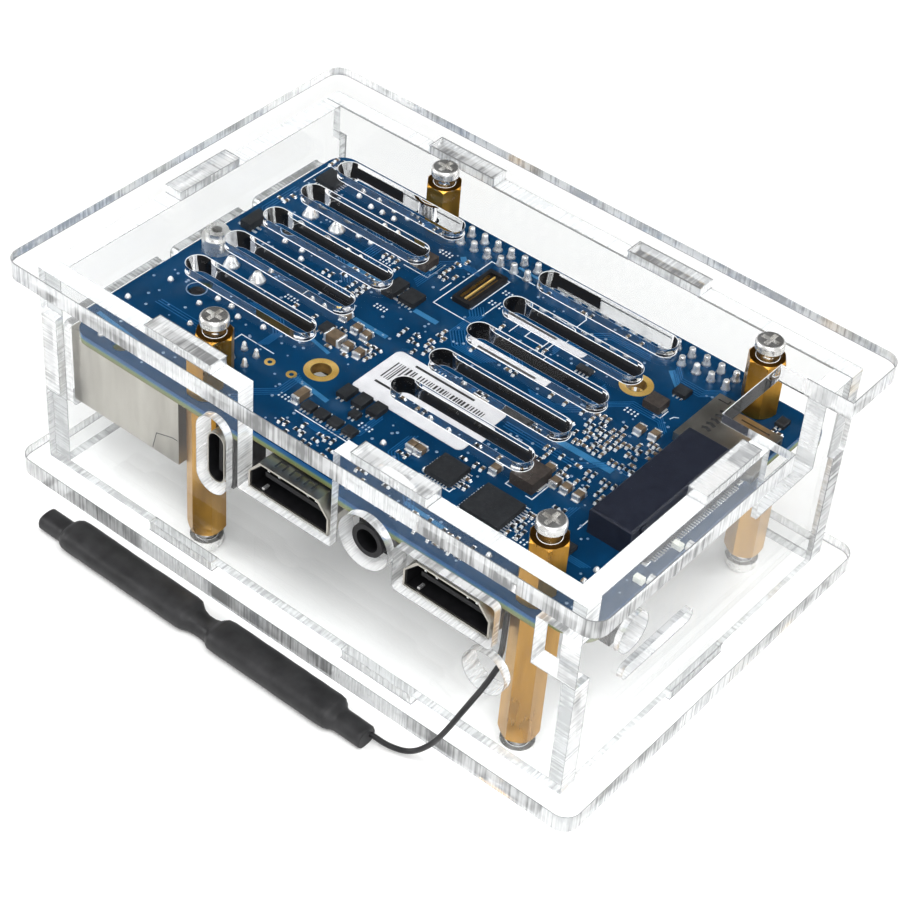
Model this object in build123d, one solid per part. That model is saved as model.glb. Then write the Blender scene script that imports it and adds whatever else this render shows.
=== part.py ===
"""Single board computer hung upside down in a clear laser-cut case, with a wired antenna.

Millimetres, +Z up. The origin is at the middle of the case on the surface it stands on.
+X runs along the long side, towards the memory card and button end. -Y is the side with the
display, audio and power sockets. The case stands on the heads of its four lower screws.
"""

import math
import os

from build123d import *

# Case sheets
PLATE_LENGTH = 104.0
PLATE_WIDTH = 70.0
SHEET = 3.0
PLATE_CORNER = 2.5
FRONT_FACE = -32.0
BACK_FACE = 31.0
END_FACE = 48.2
TAB_CLEARANCE = 0.1

# Fasteners
HEX_FLATS = 5.0
LOWER_TURN = 30
UPPER_TURN = 6
SCREW_RADIUS = 1.2
THREAD_RADIUS = 1.25
PLATE_HOLE_RADIUS = 1.65
BOARD_HOLE_RADIUS = 1.375
TOP_HEAD_RADIUS = 2.1
TOP_HEAD_HEIGHT = 1.35
FOOT_RADIUS = 2.45
FOOT_HEIGHT = 1.9
SHANK_LENGTH = 8.0
BORE_DEPTH = 8.0
UPPER_BORE_DEPTH = 6.0
STUD_LENGTH = 5.6
CROSS_WIDTH = 0.7
CROSS_LENGTH = 2.8
CROSS_DEPTH = 0.8

# Stack of levels, from the surface up
LOWER_STANDOFF = 24.0
UPPER_STANDOFF = 8.0
BOARD_THICKNESS = 1.6
BOTTOM_FACE = FOOT_HEIGHT
WALL_BOTTOM = BOTTOM_FACE + SHEET
BOARD_UNDER = WALL_BOTTOM + LOWER_STANDOFF
BOARD_TOP = BOARD_UNDER + BOARD_THICKNESS
WALL_TOP = BOARD_TOP + UPPER_STANDOFF
TOP_FACE = WALL_TOP + SHEET

# Circuit board and its mounting holes
BOARD_X = (-44.2, 44.8)
BOARD_Y = (-28.5, 27.5)
BOARD_CORNER = 3.0
MOUNT_X = (-21.0, 37.0)
MOUNT_Y = (-25.0, 24.0)
COOLER_HOLES = ((-11.3, -13.8), (22.6, 14.5))
COOLER_HOLE_RADIUS = 1.5
DRIVE_POST = (-41.0, -3.7)
PEG_HOLES = ((-36.3, -12.8), (-36.3, -26.2))
PEG_HOLE_RADIUS = 1.35

# Tabs and corner fingers of the case sheets
LONG_TABS = ((-27.3, -15.0), (9.9, 22.5))
END_TAB = (-6.8, 5.4)
LEFT_FINGER = (18.2, 32.2)
RIGHT_FINGER = (25.2, 33.4)
NEAR_NOTCH_X = 41.0

# Vent slots of the top plate
VENT_LENGTH = 23.3
VENT_WIDTH = 3.6
VENT_X = (-22.0, 15.9)
VENT_Y = (-17.0, -9.0, -1.0, 7.0, 15.0)

# Memory card cut-outs
CARD_Y = (7.9, 22.0)
CARD_NOTCH_X = 40.3
CARD_SILL = 27.3

# Sockets on the long front edge
SOCKET_FACE = -31.0
POWER_X = -15.0
POWER_Z = 24.4
POWER_WINDOW_Z = 25.4
POWER_SHELL = (8.95, 3.2)
POWER_MOUTH = (8.55, 2.8)
DISPLAY_X = (-1.6, 26.2)
AUDIO_X = 12.5
AUDIO_Z = 26.8
AUDIO_BORE_RADIUS = 1.8
AUDIO_BORE_DEPTH = 12.0
ANTENNA_HOLE = (33.9, 17.9)
ANTENNA_HOLE_RADIUS = 3.5

# Sockets on the left end
LEFT_SOCKET_FACE = -45.8
NETWORK_Y = (-26.9, -11.0)
NETWORK_BOTTOM = 15.5
USB_WIDTH = 13.1
USB_BOTTOM = 12.9
USB_Y = (-0.4, 17.2)

# Pin header
PIN_PITCH = 2.54
PIN_COLUMNS = 20
PIN_SIZE = 0.64
PIN_FIRST_X = -16.1
PIN_ROWS = (25.2, 22.66)
PIN_HOLE_RADIUS = 0.5
PIN_TAIL = 1.4
PIN_TIP = 17.4
PIN_BASE_BOTTOM = 26.4

# Power button
BUTTON_Y = -19.8
BUTTON_Z = 26.9
BUTTON_TRAVEL = 0.25
BUTTON_TIP = 46.5
BUTTON_GAP = 0.05
BUTTON_WINDOW = (-19.8, 26.4)
BUTTON_WINDOW_RADIUS = 3.15

# Antenna and its coaxial lead
LEAD_DIAMETER = 0.81
LEAD_ROUTE = (
    (21.2, -38.5, 1.45),
    (24.1, -38.3, 1.1),
    (27.2, -37.3, 1.3),
    (29.9, -36.5, 4.3),
    (32.0, -36.2, 8.6),
    (33.6, -35.0, 12.9),
    (34.3, -31.2, 15.7),
    (35.0, -28.3, 19.8),
    (35.0, -28.0, 24.2),
    (34.0, -26.5, 27.5),
    (33.9, -22.2, 28.15),
    (34.1, -18.0, 27.75),
)
LEAD_ARC_SHARE = 0.45
ANTENNA_HEIGHT = 3.8
ANTENNA_WIDTH = 5.6


def block(x, y, z):
    """A box given by its low and high limit on each axis."""
    middle = [(low + high) / 2 for low, high in (x, y, z)]
    return Pos(*middle) * Box(x[1] - x[0], y[1] - y[0], z[1] - z[0])


def rod(x, y, z, radius):
    """An upright cylinder over the z limits."""
    return Pos(x, y, (z[0] + z[1]) / 2) * Cylinder(radius, z[1] - z[0])


def flat(u, v, radius=0.0):
    """A rectangle given by its limits, with round corners where radius is given."""
    place = Pos((u[0] + u[1]) / 2, (v[0] + v[1]) / 2)
    if radius:
        return place * RectangleRounded(u[1] - u[0], v[1] - v[0], radius)
    return place * Rectangle(u[1] - u[0], v[1] - v[0])


def around(centre, size):
    """The two limits of a length centred on a place."""
    return (centre - size / 2, centre + size / 2)


def grown(span, margin=TAB_CLEARANCE):
    """A pair of limits moved apart by a margin on each side."""
    return (span[0] - margin, span[1] + margin)


def corners():
    """The four places of the standoffs."""
    return [(x, y) for x in MOUNT_X for y in MOUNT_Y]


def save(name, *solids):
    """Writes one node, as one solid or a group of separate solids."""
    shape = solids[0] if len(solids) == 1 else Compound(children=list(solids))
    export_step(shape, f"parts/{name}.step")


# ---------------------------------------------------------------- clear case

def plate(z):
    """A case plate with its corner holes and the slots that the wall tabs fill."""
    outline = RectangleRounded(PLATE_LENGTH, PLATE_WIDTH, PLATE_CORNER)
    for x, y in corners():
        outline -= Pos(x, y) * Circle(PLATE_HOLE_RADIUS)
    for span in LONG_TABS:
        outline -= flat(grown(span), (FRONT_FACE, FRONT_FACE + SHEET))
        outline -= flat(grown(span), (BACK_FACE - SHEET, BACK_FACE))
    outline -= flat((-END_FACE, SHEET - END_FACE), grown(END_TAB))
    outline -= flat((END_FACE - SHEET, END_FACE), grown(END_TAB))
    return extrude(Pos(0, 0, z) * outline, amount=SHEET)


def bottom_plate():
    return plate(BOTTOM_FACE)


def top_plate():
    """The top plate adds ten vent slots and the notch over the memory card."""
    body = plate(WALL_TOP)
    slot = extrude(SlotOverall(VENT_LENGTH, VENT_WIDTH), amount=2 * SHEET)
    for x in VENT_X:
        for y in VENT_Y:
            body -= Pos(x, y, WALL_TOP - SHEET / 2) * slot
    notch_end = PLATE_LENGTH / 2 + SHEET
    body -= block((CARD_NOTCH_X, notch_end), CARD_Y, (WALL_TOP - 1, TOP_FACE + 1))
    return body


def long_wall_outline():
    """Outline of a front or back wall with its tabs, seen along Y."""
    outline = flat((-END_FACE, END_FACE), (WALL_BOTTOM, WALL_TOP))
    for span in LONG_TABS:
        outline += flat(span, (BOTTOM_FACE, TOP_FACE))
    outline -= flat((-END_FACE - 1, SHEET - END_FACE), grown(LEFT_FINGER))
    outline -= flat((END_FACE - SHEET, END_FACE + 1), grown(RIGHT_FINGER))
    return outline


def front_wall():
    """Front wall with the openings for power, display, audio and the antenna lead."""
    outline = long_wall_outline()
    outline -= Pos(POWER_X, POWER_WINDOW_Z) * Rot(0, 0, 90) * SlotOverall(13.6, 5.6)
    outline -= flat((-10.0, 6.9), (22.7, WALL_TOP + 1))
    outline -= Pos(12.6, AUDIO_Z + 0.4) * Circle(4.3)
    outline -= flat((17.8, 34.7), (22.5, 30.2), 0.8)
    outline -= Pos(*ANTENNA_HOLE) * Circle(ANTENNA_HOLE_RADIUS)
    outline -= flat((NEAR_NOTCH_X, END_FACE), grown(RIGHT_FINGER))
    face = Plane(origin=(0, FRONT_FACE, 0), x_dir=(1, 0, 0), z_dir=(0, -1, 0))
    return extrude(face * outline, amount=-SHEET)


def back_wall():
    face = Plane(origin=(0, BACK_FACE - SHEET, 0), x_dir=(1, 0, 0), z_dir=(0, -1, 0))
    return extrude(face * long_wall_outline(), amount=-SHEET)


def end_wall_outline(finger):
    """Outline of an end wall with its tabs and corner fingers, seen along X."""
    inside = (FRONT_FACE + SHEET, BACK_FACE - SHEET)
    outline = flat(inside, (WALL_BOTTOM, WALL_TOP))
    outline += flat(END_TAB, (BOTTOM_FACE, TOP_FACE))
    outline += flat((FRONT_FACE, BACK_FACE), finger)
    return outline


def left_wall():
    """Left wall with windows for the network socket and both double USB sockets."""
    outline = end_wall_outline(LEFT_FINGER)
    outline -= flat(grown(NETWORK_Y, 0.8), (NETWORK_BOTTOM - 0.8, 29.7), 0.8)
    for y in USB_Y:
        outline -= flat(grown(around(y, USB_WIDTH), 0.9), (USB_BOTTOM - 0.8, 29.7), 0.8)
    face = Plane(origin=(-END_FACE, 0, 0), x_dir=(0, 1, 0), z_dir=(1, 0, 0))
    return extrude(face * outline, amount=SHEET)


def right_wall():
    """Right wall with the card cut-out, button window, long slot and two light holes."""
    outline = end_wall_outline(RIGHT_FINGER)
    outline -= flat(CARD_Y, (CARD_SILL, WALL_TOP + 1))
    outline -= Pos(*BUTTON_WINDOW) * Circle(BUTTON_WINDOW_RADIUS)
    outline -= Pos(-13.0, 19.1) * SlotOverall(16.0, 2.4)
    for y in (-16.5, -8.0):
        outline -= Pos(y, 31.7) * Circle(0.75)
    face = Plane(origin=(END_FACE - SHEET, 0, 0), x_dir=(0, 1, 0), z_dir=(1, 0, 0))
    return extrude(face * outline, amount=SHEET)


# ---------------------------------------------------------------- fasteners

def hex_column(x, y, low, high, turn):
    """A hexagonal brass column with chamfered ends."""
    hexagon = RegularPolygon(HEX_FLATS / 2, 6, major_radius=False, rotation=turn)
    column = extrude(Pos(x, y, low) * hexagon, amount=high - low)
    cone_radius = HEX_FLATS / 2 + 0.15
    height = high - low
    turned = Pos(x, y, (low + high) / 2) * chamfer(
        Cylinder(cone_radius + 0.4, height).edges().filter_by(GeomType.CIRCLE), 0.5)
    return column & turned


def lower_standoff(x, y):
    """A hexagonal standoff with a threaded hole in each end."""
    column = hex_column(x, y, WALL_BOTTOM, BOARD_UNDER, LOWER_TURN)
    column -= rod(x, y, (WALL_BOTTOM - 1, WALL_BOTTOM + BORE_DEPTH), THREAD_RADIUS)
    column -= rod(x, y, (BOARD_UNDER - BORE_DEPTH, BOARD_UNDER + 1), THREAD_RADIUS)
    return column


def upper_standoff(x, y):
    """A short standoff whose stud clamps the board onto the lower one."""
    column = hex_column(x, y, BOARD_TOP, WALL_TOP, UPPER_TURN)
    column -= rod(x, y, (WALL_TOP - UPPER_BORE_DEPTH, WALL_TOP + 1), THREAD_RADIUS)
    return column + rod(x, y, (BOARD_TOP - STUD_LENGTH, BOARD_TOP + 0.5), SCREW_RADIUS)


def screw(radius, height):
    """A cross-head screw standing on the underside of its head at z = 0."""
    head = Pos(0, 0, height / 2) * Cylinder(radius, height)
    head = fillet(head.faces().sort_by(Axis.Z)[-1].edges(), 0.4 * height)
    cut = (height - CROSS_DEPTH, height + 1)
    head -= block(around(0, CROSS_LENGTH), around(0, CROSS_WIDTH), cut)
    head -= block(around(0, CROSS_WIDTH), around(0, CROSS_LENGTH), cut)
    return head + rod(0, 0, (-SHANK_LENGTH, 0.3), SCREW_RADIUS)


def top_screws():
    return [Pos(x, y, TOP_FACE) * screw(TOP_HEAD_RADIUS, TOP_HEAD_HEIGHT) for x, y in corners()]


def bottom_screws():
    """Screws with taller heads, on which the case stands."""
    foot = Rot(180, 0, 0) * screw(FOOT_RADIUS, FOOT_HEIGHT)
    return [Pos(x, y, BOTTOM_FACE) * foot for x, y in corners()]


# ---------------------------------------------------------------- circuit board

def pin_places():
    """Every pin of the two-row header."""
    columns = [PIN_FIRST_X + PIN_PITCH * i for i in range(PIN_COLUMNS)]
    return [(x, y) for x in columns for y in PIN_ROWS]


def circuit_board():
    outline = flat(BOARD_X, BOARD_Y, BOARD_CORNER)
    for x, y in corners():
        outline -= Pos(x, y) * Circle(BOARD_HOLE_RADIUS)
    for x, y in COOLER_HOLES:
        outline -= Pos(x, y) * Circle(COOLER_HOLE_RADIUS)
    for x, y in PEG_HOLES:
        outline -= Pos(x, y) * Circle(PEG_HOLE_RADIUS)
    outline -= [Pos(x, y) * Circle(PIN_HOLE_RADIUS) for x, y in pin_places()]
    return extrude(Pos(0, 0, BOARD_UNDER) * outline, amount=BOARD_THICKNESS)


def on_top(x, y, height):
    """A chip or block standing on the upper face of the board."""
    return block(x, y, (BOARD_TOP, BOARD_TOP + height))


def below(x, y, height):
    """A chip or block hanging from the lower face of the board."""
    return block(x, y, (BOARD_UNDER - height, BOARD_UNDER))


def drive_connector():
    """Edge connector for a plug-in drive, with its slot open towards -X."""
    x = (35.5, 42.3)
    y = (-14.1, 8.3)
    body = on_top(x, y, 4.2)
    body = chamfer(body.faces().sort_by(Axis.Z)[-1].edges(), 0.25)
    return body - block((x[0] - 1, x[0] + 4.2), grown(y, -1.1), (BOARD_TOP + 1.7, BOARD_TOP + 3.2))


def drive_standoff():
    """Round threaded post that holds the far end of a plug-in drive."""
    x, y = DRIVE_POST
    post = rod(x, y, (BOARD_TOP, BOARD_TOP + 2.4), 2.3)
    post += rod(x, y, (BOARD_TOP + 2.4, BOARD_TOP + 3.4), 1.75)
    return post - rod(x, y, (BOARD_TOP + 0.6, BOARD_TOP + 5), 0.8)


def card_socket():
    """Folded metal memory card socket with its mouth towards +X."""
    x = (33.0, 43.9)
    y = (8.6, 19.8)
    body = on_top(x, y, 1.4)
    return body - block((x[0] + 1.2, x[1] + 1), grown(y, -0.5), (BOARD_TOP + 0.35, BOARD_TOP + 1.15))


def module_connector():
    """Low board-to-board connector for a storage module."""
    x = (-8.2, -5.0)
    y = (11.0, 20.0)
    body = on_top(x, y, 0.9)
    return body - block(grown(x, -0.6), grown(y, -0.7), (BOARD_TOP + 0.4, BOARD_TOP + 2))


def power_inductors():
    """Moulded power inductors."""
    pads = (((22.2, 26.0), (-13.7, -9.4), 1.9), ((-18.1, -15.1), (13.3, 16.3), 1.4),
            ((25.9, 28.7), (11.3, 13.9), 1.3))
    return [on_top(x, y, height) for x, y, height in pads]


def controller_chips():
    """Flat square and oblong integrated circuits on the upper face."""
    pads = (((12.8, 17.2), (-20.1, -15.7), 0.85), ((20.7, 27.1), (-22.3, -16.3), 0.85),
            ((-41.9, -38.3), (18.9, 22.5), 0.8), ((-42.2, -40.2), (2.5, 6.5), 1.3),
            ((27.3, 29.5), (16.5, 18.4), 0.7), ((-13.7, -10.9), (5.4, 8.4), 0.9),
            ((-16.6, -14.5), (5.0, 9.0), 0.9))
    return [on_top(x, y, height) for x, y, height in pads]


def switching_transistors():
    """The row of small power transistors behind the power socket."""
    return [on_top(around(-5.2 + 2.7 * i, 1.9), (-16.5, -13.9), 0.8) for i in range(3)]


def ceramic_capacitors():
    """The larger ceramic capacitors on the upper face."""
    places = ((26.9, -9.6), (28.7, -9.6), (30.8, -9.6), (19.5, -13.2), (24.7, -8.1), (31.0, 7.3),
              (28.8, 6.8), (-16.4, -2.8), (-13.4, -3.8), (-11.4, -4.1), (-11.7, -7.7),
              (-9.6, -7.7), (8.4, -17.3), (9.8, -17.3))
    small = [on_top(around(x, 1.2), around(y, 1.7), 0.9) for x, y in places]
    return small + [on_top((-15.4, -12.8), (-8.7, -6.7), 1.3), on_top((-9.8, -8.6), (-21.6, -18.8), 1.2)]


def product_label():
    """Thin paper label with rounded corners."""
    outline = flat((-6.2, 13.6), (-13.6, -2.9), 1.0)
    return extrude(Pos(0, 0, BOARD_TOP) * outline, amount=0.12)


def processor():
    """Main chip: substrate with a raised die cover, midway between the cooler holes."""
    x, y = 5.6, 0.4
    chip = below(around(x, 17.0), around(y, 17.0), 0.8)
    return chip + block(around(x, 11.0), around(y, 11.0), (BOARD_UNDER - 1.4, BOARD_UNDER - 0.7))


def memory_chips():
    return [below(around(-11.0, 8.0), around(y, 12.4), 1.0) for y in (-5.6, 7.6)]


def wireless_module():
    """Radio module: a board under a metal can."""
    module = below((19.5, 31.5), (-16.5, -4.5), 0.8)
    return module + block((20.0, 31.0), (-16.0, -5.0), (BOARD_UNDER - 2.2, BOARD_UNDER - 0.7))


def power_manager():
    return below(around(22.5, 7.0), around(4.5, 7.0), 0.9)


# ---------------------------------------------------------------- sockets

def power_socket_shell():
    """Upright oval metal shell of the power socket."""
    face = Plane(origin=(POWER_X, SOCKET_FACE, POWER_Z), x_dir=(1, 0, 0), z_dir=(0, -1, 0))
    upright = Rot(0, 0, 90)
    shell = extrude(face * upright * SlotOverall(*POWER_SHELL), amount=-7.4)
    return shell - extrude(face * upright * SlotOverall(*POWER_MOUTH), amount=-6.8)


def power_socket_tongue():
    """Upright contact blade inside the power socket."""
    y = (SOCKET_FACE + 1.0, SOCKET_FACE + 6.8)
    return block(around(POWER_X, 0.7), y, around(POWER_Z, 6.2))


def power_socket_bracket():
    """Insulating block that carries the upright power socket on the board."""
    y = (SOCKET_FACE + 2.6, SOCKET_FACE + 7.4)
    bracket = block(around(POWER_X, 5.0), y, (POWER_Z - 4.9, BOARD_UNDER))
    face = Plane(origin=(POWER_X, SOCKET_FACE, POWER_Z), x_dir=(1, 0, 0), z_dir=(0, -1, 0))
    return bracket - extrude(face * Rot(0, 0, 90) * SlotOverall(*POWER_SHELL), amount=-9)


def display_outline(x, margin):
    """Outline of a display socket: full width below and narrower towards the board."""
    half = 7.3 - margin
    low, high = 23.1 + margin, 28.5 - margin
    step = 26.0
    narrow = half - 2.0
    points = ((x - half, low), (x + half, low), (x + half, step), (x + narrow, high),
              (x - narrow, high), (x - half, step))
    return make_face(Polyline(*points, close=True))


def display_socket_shell(x):
    """Thin metal shell of a display socket, closed at the back."""
    face = Plane(origin=(0, SOCKET_FACE, 0), x_dir=(1, 0, 0), z_dir=(0, -1, 0))
    shell = extrude(face * display_outline(x, 0.0), amount=-11.2)
    shell -= extrude(face * display_outline(x, 0.3), amount=-10.8)
    for side in (-1, 1):
        leg = around(x + side * 4.4, 0.8)
        shell += block(leg, (SOCKET_FACE + 3.5, SOCKET_FACE + 5.5), (28.4, BOARD_UNDER))
    return shell


def display_socket_tongue(x):
    """Contact tongue of a display socket on its insulating back block."""
    face = Plane(origin=(0, SOCKET_FACE + 7.6, 0), x_dir=(1, 0, 0), z_dir=(0, -1, 0))
    back = extrude(face * display_outline(x, 0.3), amount=-3.2)
    return back + block(around(x, 10.4), (SOCKET_FACE + 1.2, SOCKET_FACE + 8), (25.4, 26.2))


def audio_socket():
    """Audio socket: a square body with a round barrel and a bore for the plug."""
    body = block(around(AUDIO_X, 6.4), (SOCKET_FACE + 2.1, SOCKET_FACE + 13.9), (24.0, BOARD_UNDER))
    barrel = Pos(AUDIO_X, SOCKET_FACE + 1.25, AUDIO_Z) * Rot(90, 0, 0) * Cylinder(2.6, 2.5)
    bore_middle = SOCKET_FACE + AUDIO_BORE_DEPTH / 2
    bore = Pos(AUDIO_X, bore_middle, AUDIO_Z) * Rot(90, 0, 0)
    return body + barrel - bore * Cylinder(AUDIO_BORE_RADIUS, AUDIO_BORE_DEPTH)


def network_socket_shell():
    """Metal shield of the network socket, open at its mouth."""
    shield = block((LEFT_SOCKET_FACE, -24.6), NETWORK_Y, (NETWORK_BOTTOM, BOARD_UNDER))
    mouth = (LEFT_SOCKET_FACE - 1, -25.0)
    inside = (NETWORK_BOTTOM + 0.4, BOARD_UNDER - 0.4)
    return shield - block(mouth, grown(NETWORK_Y, -0.4), inside)


def network_socket_insert():
    """Plastic body of the network socket, hollowed for the plug and its latch."""
    inner_y = grown(NETWORK_Y, -0.4)
    insert = block((LEFT_SOCKET_FACE + 0.4, -25.0), inner_y, (NETWORK_BOTTOM + 0.4, BOARD_UNDER - 0.4))
    middle = (NETWORK_Y[0] + NETWORK_Y[1]) / 2
    cavity = (LEFT_SOCKET_FACE - 1, LEFT_SOCKET_FACE + 13.0)
    insert -= block(cavity, around(middle, 11.7), (NETWORK_BOTTOM + 3.6, BOARD_UNDER - 2.6))
    return insert - block(cavity, around(middle, 6.0), (NETWORK_BOTTOM + 1.6, NETWORK_BOTTOM + 4))


def usb_stack_shell(y):
    """Metal shell of a double USB socket with a bar between its two mouths."""
    outer = around(y, USB_WIDTH)
    shell = block((LEFT_SOCKET_FACE, -28.0), outer, (USB_BOTTOM, BOARD_UNDER))
    mouth = (LEFT_SOCKET_FACE - 1, -28.5)
    for bottom in (USB_BOTTOM + 0.4, USB_BOTTOM + 8.6):
        shell -= block(mouth, grown(outer, -0.4), (bottom, bottom + 7.0))
    return shell


def usb_stack_tongues(y):
    """The two contact tongues of a double USB socket, each on its back block."""
    tongues = []
    for bottom in (USB_BOTTOM + 0.4, USB_BOTTOM + 8.6):
        back = block((-33.0, -28.5), around(y, 12.3), (bottom, bottom + 7.0))
        tongue = block((LEFT_SOCKET_FACE + 1.5, -32.5), around(y, 11.1), (bottom + 3.9, bottom + 5.7))
        tongues.append(back + tongue)
    return tongues


def header_base():
    """Plastic base of the pin header under the board."""
    x = (PIN_FIRST_X - PIN_PITCH / 2, PIN_FIRST_X + PIN_PITCH * (PIN_COLUMNS - 0.5))
    y = (PIN_ROWS[1] - PIN_PITCH / 2, PIN_ROWS[0] + PIN_PITCH / 2)
    base = block(x, y, (PIN_BASE_BOTTOM, BOARD_UNDER))
    holes = [Pos(px, py) * Circle(PIN_HOLE_RADIUS) for px, py in pin_places()]
    return base - extrude(Pos(0, 0, PIN_BASE_BOTTOM - 1) * Sketch(children=holes), amount=5)


def header_pins():
    length = (PIN_TIP, BOARD_TOP + PIN_TAIL)
    return [block(around(x, PIN_SIZE), around(y, PIN_SIZE), length) for x, y in pin_places()]


def status_lights():
    """Two small side-view lights at the right edge."""
    return [on_top((43.2, 44.6), around(y, 0.9), 0.9) for y in (-16.8, -8.3)]


# ---------------------------------------------------------------- power button

def button_body():
    """Button housing with a chamber for the plunger's collar and the contact dome."""
    body = block((40.2, 44.6), around(BUTTON_Y, 6.2), (BUTTON_Z - 1.8, BOARD_UNDER))
    body -= block((41.0, 43.4), around(BUTTON_Y, 4.2), around(BUTTON_Z, 2.8))
    window = block((43.0, 45.0), around(BUTTON_Y, 2.8), around(BUTTON_Z, 1.7))
    return body - window


def button_plunger():
    """Plunger that slides inwards, with a collar that keeps it in the housing."""
    wide, tall = 2.8 - 2 * BUTTON_GAP, 1.7 - 2 * BUTTON_GAP
    shaft = block((42.2, BUTTON_TIP), around(BUTTON_Y, wide), around(BUTTON_Z, tall))
    shaft = fillet(shaft.faces().sort_by(Axis.X)[-1].edges(), 0.25)
    collar = (43.4 - BUTTON_GAP - 0.8, 43.4 - BUTTON_GAP)
    return shaft + block(collar, around(BUTTON_Y, 3.8), around(BUTTON_Z, 2.4))


def button_dome():
    """Snap dome on the rear wall of the button's chamber."""
    disc = Pos(41.15, BUTTON_Y, BUTTON_Z) * Rot(0, 90, 0) * Cylinder(1.2, 0.3)
    return fillet(disc.faces().sort_by(Axis.X)[-1].edges(), 0.2)


# ---------------------------------------------------------------- antenna

def turn_radius(before, corner, after):
    """The arc radius that uses the same share of the shorter of two runs."""
    first = Vector(*corner) - Vector(*before)
    second = Vector(*after) - Vector(*corner)
    half_turn = math.radians(first.get_angle(second)) / 2
    return LEAD_ARC_SHARE * min(first.length, second.length) / math.tan(half_turn)


def antenna_lead():
    """Coaxial lead from the antenna, over the plate's edge and up through the front wall."""
    radii = [turn_radius(*LEAD_ROUTE[i:i + 3]) for i in range(len(LEAD_ROUTE) - 2)]
    path = FilletPolyline(*LEAD_ROUTE, radius=radii)
    section = Plane(origin=path @ 0, z_dir=path % 0) * Circle(LEAD_DIAMETER / 2)
    lead = sweep(section, path=path)
    expected = math.pi * LEAD_DIAMETER ** 2 / 4 * path.length
    print("lead length", round(path.length, 2), "least radius", round(min(radii), 2))
    print("lead radii", [round(radius, 1) for radius in radii])
    print("lead volume", round(lead.volume, 3), "expected", round(expected, 3))
    return lead


def antenna_socket():
    """Miniature coaxial socket under the board."""
    x, y, _ = LEAD_ROUTE[-1]
    y += 1.3
    socket = below(around(x, 2.6), around(y, 2.6), 0.35)
    return socket + rod(x, y, (BOARD_UNDER - 0.7, BOARD_UNDER - 0.3), 0.9)


def antenna_plug():
    """Round metal plug on the lead's end, with a short barrel that the lead enters."""
    x, y, z = LEAD_ROUTE[-1]
    plug = rod(x, y + 1.3, (z - 0.65, BOARD_UNDER - 0.7), 1.2)
    return plug + block(around(x, 1.2), (y, y + 1.0), (z - 0.6, z + 0.4))


def sleeve_outline(width, height):
    """Flattened round section of the shrink sleeve, resting on the surface."""
    side = Plane(origin=(0, 0, height / 2), x_dir=(0, 1, 0), z_dir=(1, 0, 0))
    return side * RectangleRounded(width, height, 0.47 * height)


def sleeve_stretch(x, y, width, height):
    """One straight stretch of the sleeve between two places along X."""
    section = Pos(x[0], y, 0) * sleeve_outline(width, height)
    return extrude(section, amount=x[1] - x[0])


def antenna_sleeve():
    """Shrink sleeve in two thick stretches, with a neck between and a tail at each end."""
    sleeve = sleeve_stretch((-41.4, LEAD_ROUTE[0][0]), -39.1, 3.6, 2.9)
    sleeve += sleeve_stretch((-36.2, -11.2), -39.6, ANTENNA_WIDTH, ANTENNA_HEIGHT)
    return sleeve + sleeve_stretch((-6.6, 15.8), -39.3, ANTENNA_WIDTH, ANTENNA_HEIGHT)


def radiator_space():
    """The strip inside the sleeve, from one tail to the other."""
    return block((-38.0, 18.0), around(-39.1, 1.8), (1.2, 1.7))


def main():
    os.makedirs("parts", exist_ok=True)
    save("bottom_plate", bottom_plate())
    save("top_plate", top_plate())
    save("front_wall", front_wall())
    save("back_wall", back_wall())
    save("left_wall", left_wall())
    save("right_wall", right_wall())
    save("lower_standoffs", *[lower_standoff(x, y) for x, y in corners()])
    save("upper_standoffs", *[upper_standoff(x, y) for x, y in corners()])
    save("top_screws", *top_screws())
    save("bottom_screws", *bottom_screws())
    save("circuit_board", circuit_board())
    save("drive_connector", drive_connector())
    save("drive_standoff", drive_standoff())
    save("card_socket", card_socket())
    save("module_connector", module_connector())
    save("power_inductors", *power_inductors())
    save("controller_chips", *controller_chips())
    save("switching_transistors", *switching_transistors())
    save("ceramic_capacitors", *ceramic_capacitors())
    save("product_label", product_label())
    save("processor", processor())
    save("memory_chips", *memory_chips())
    save("wireless_module", wireless_module())
    save("power_manager", power_manager())
    save("power_socket_shell", power_socket_shell())
    save("power_socket_tongue", power_socket_tongue())
    save("power_socket_bracket", power_socket_bracket())
    for number, x in enumerate(DISPLAY_X, 1):
        save(f"display_socket_{number}_shell", display_socket_shell(x))
        save(f"display_socket_{number}_tongue", display_socket_tongue(x))
    save("audio_socket", audio_socket())
    save("network_socket_shell", network_socket_shell())
    save("network_socket_insert", network_socket_insert())
    for number, y in enumerate(USB_Y, 1):
        save(f"usb_stack_{number}_shell", usb_stack_shell(y))
        save(f"usb_stack_{number}_tongues", *usb_stack_tongues(y))
    save("header_base", header_base())
    save("header_pins", *header_pins())
    save("status_lights", *status_lights())
    save("button_body", button_body())
    save("button_plunger", button_plunger())
    save("button_dome", button_dome())
    save("antenna_socket", antenna_socket())
    save("antenna_plug", antenna_plug())
    save("antenna_lead", antenna_lead())
    save("antenna_sleeve", antenna_sleeve() - radiator_space())
    save("antenna_radiator", radiator_space())


main()
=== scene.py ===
"""Looks of the single board computer: camera, light, materials and the fine pieces."""

import math
import random

import bmesh
import bpy
from mathutils import Matrix, Vector, noise


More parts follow.
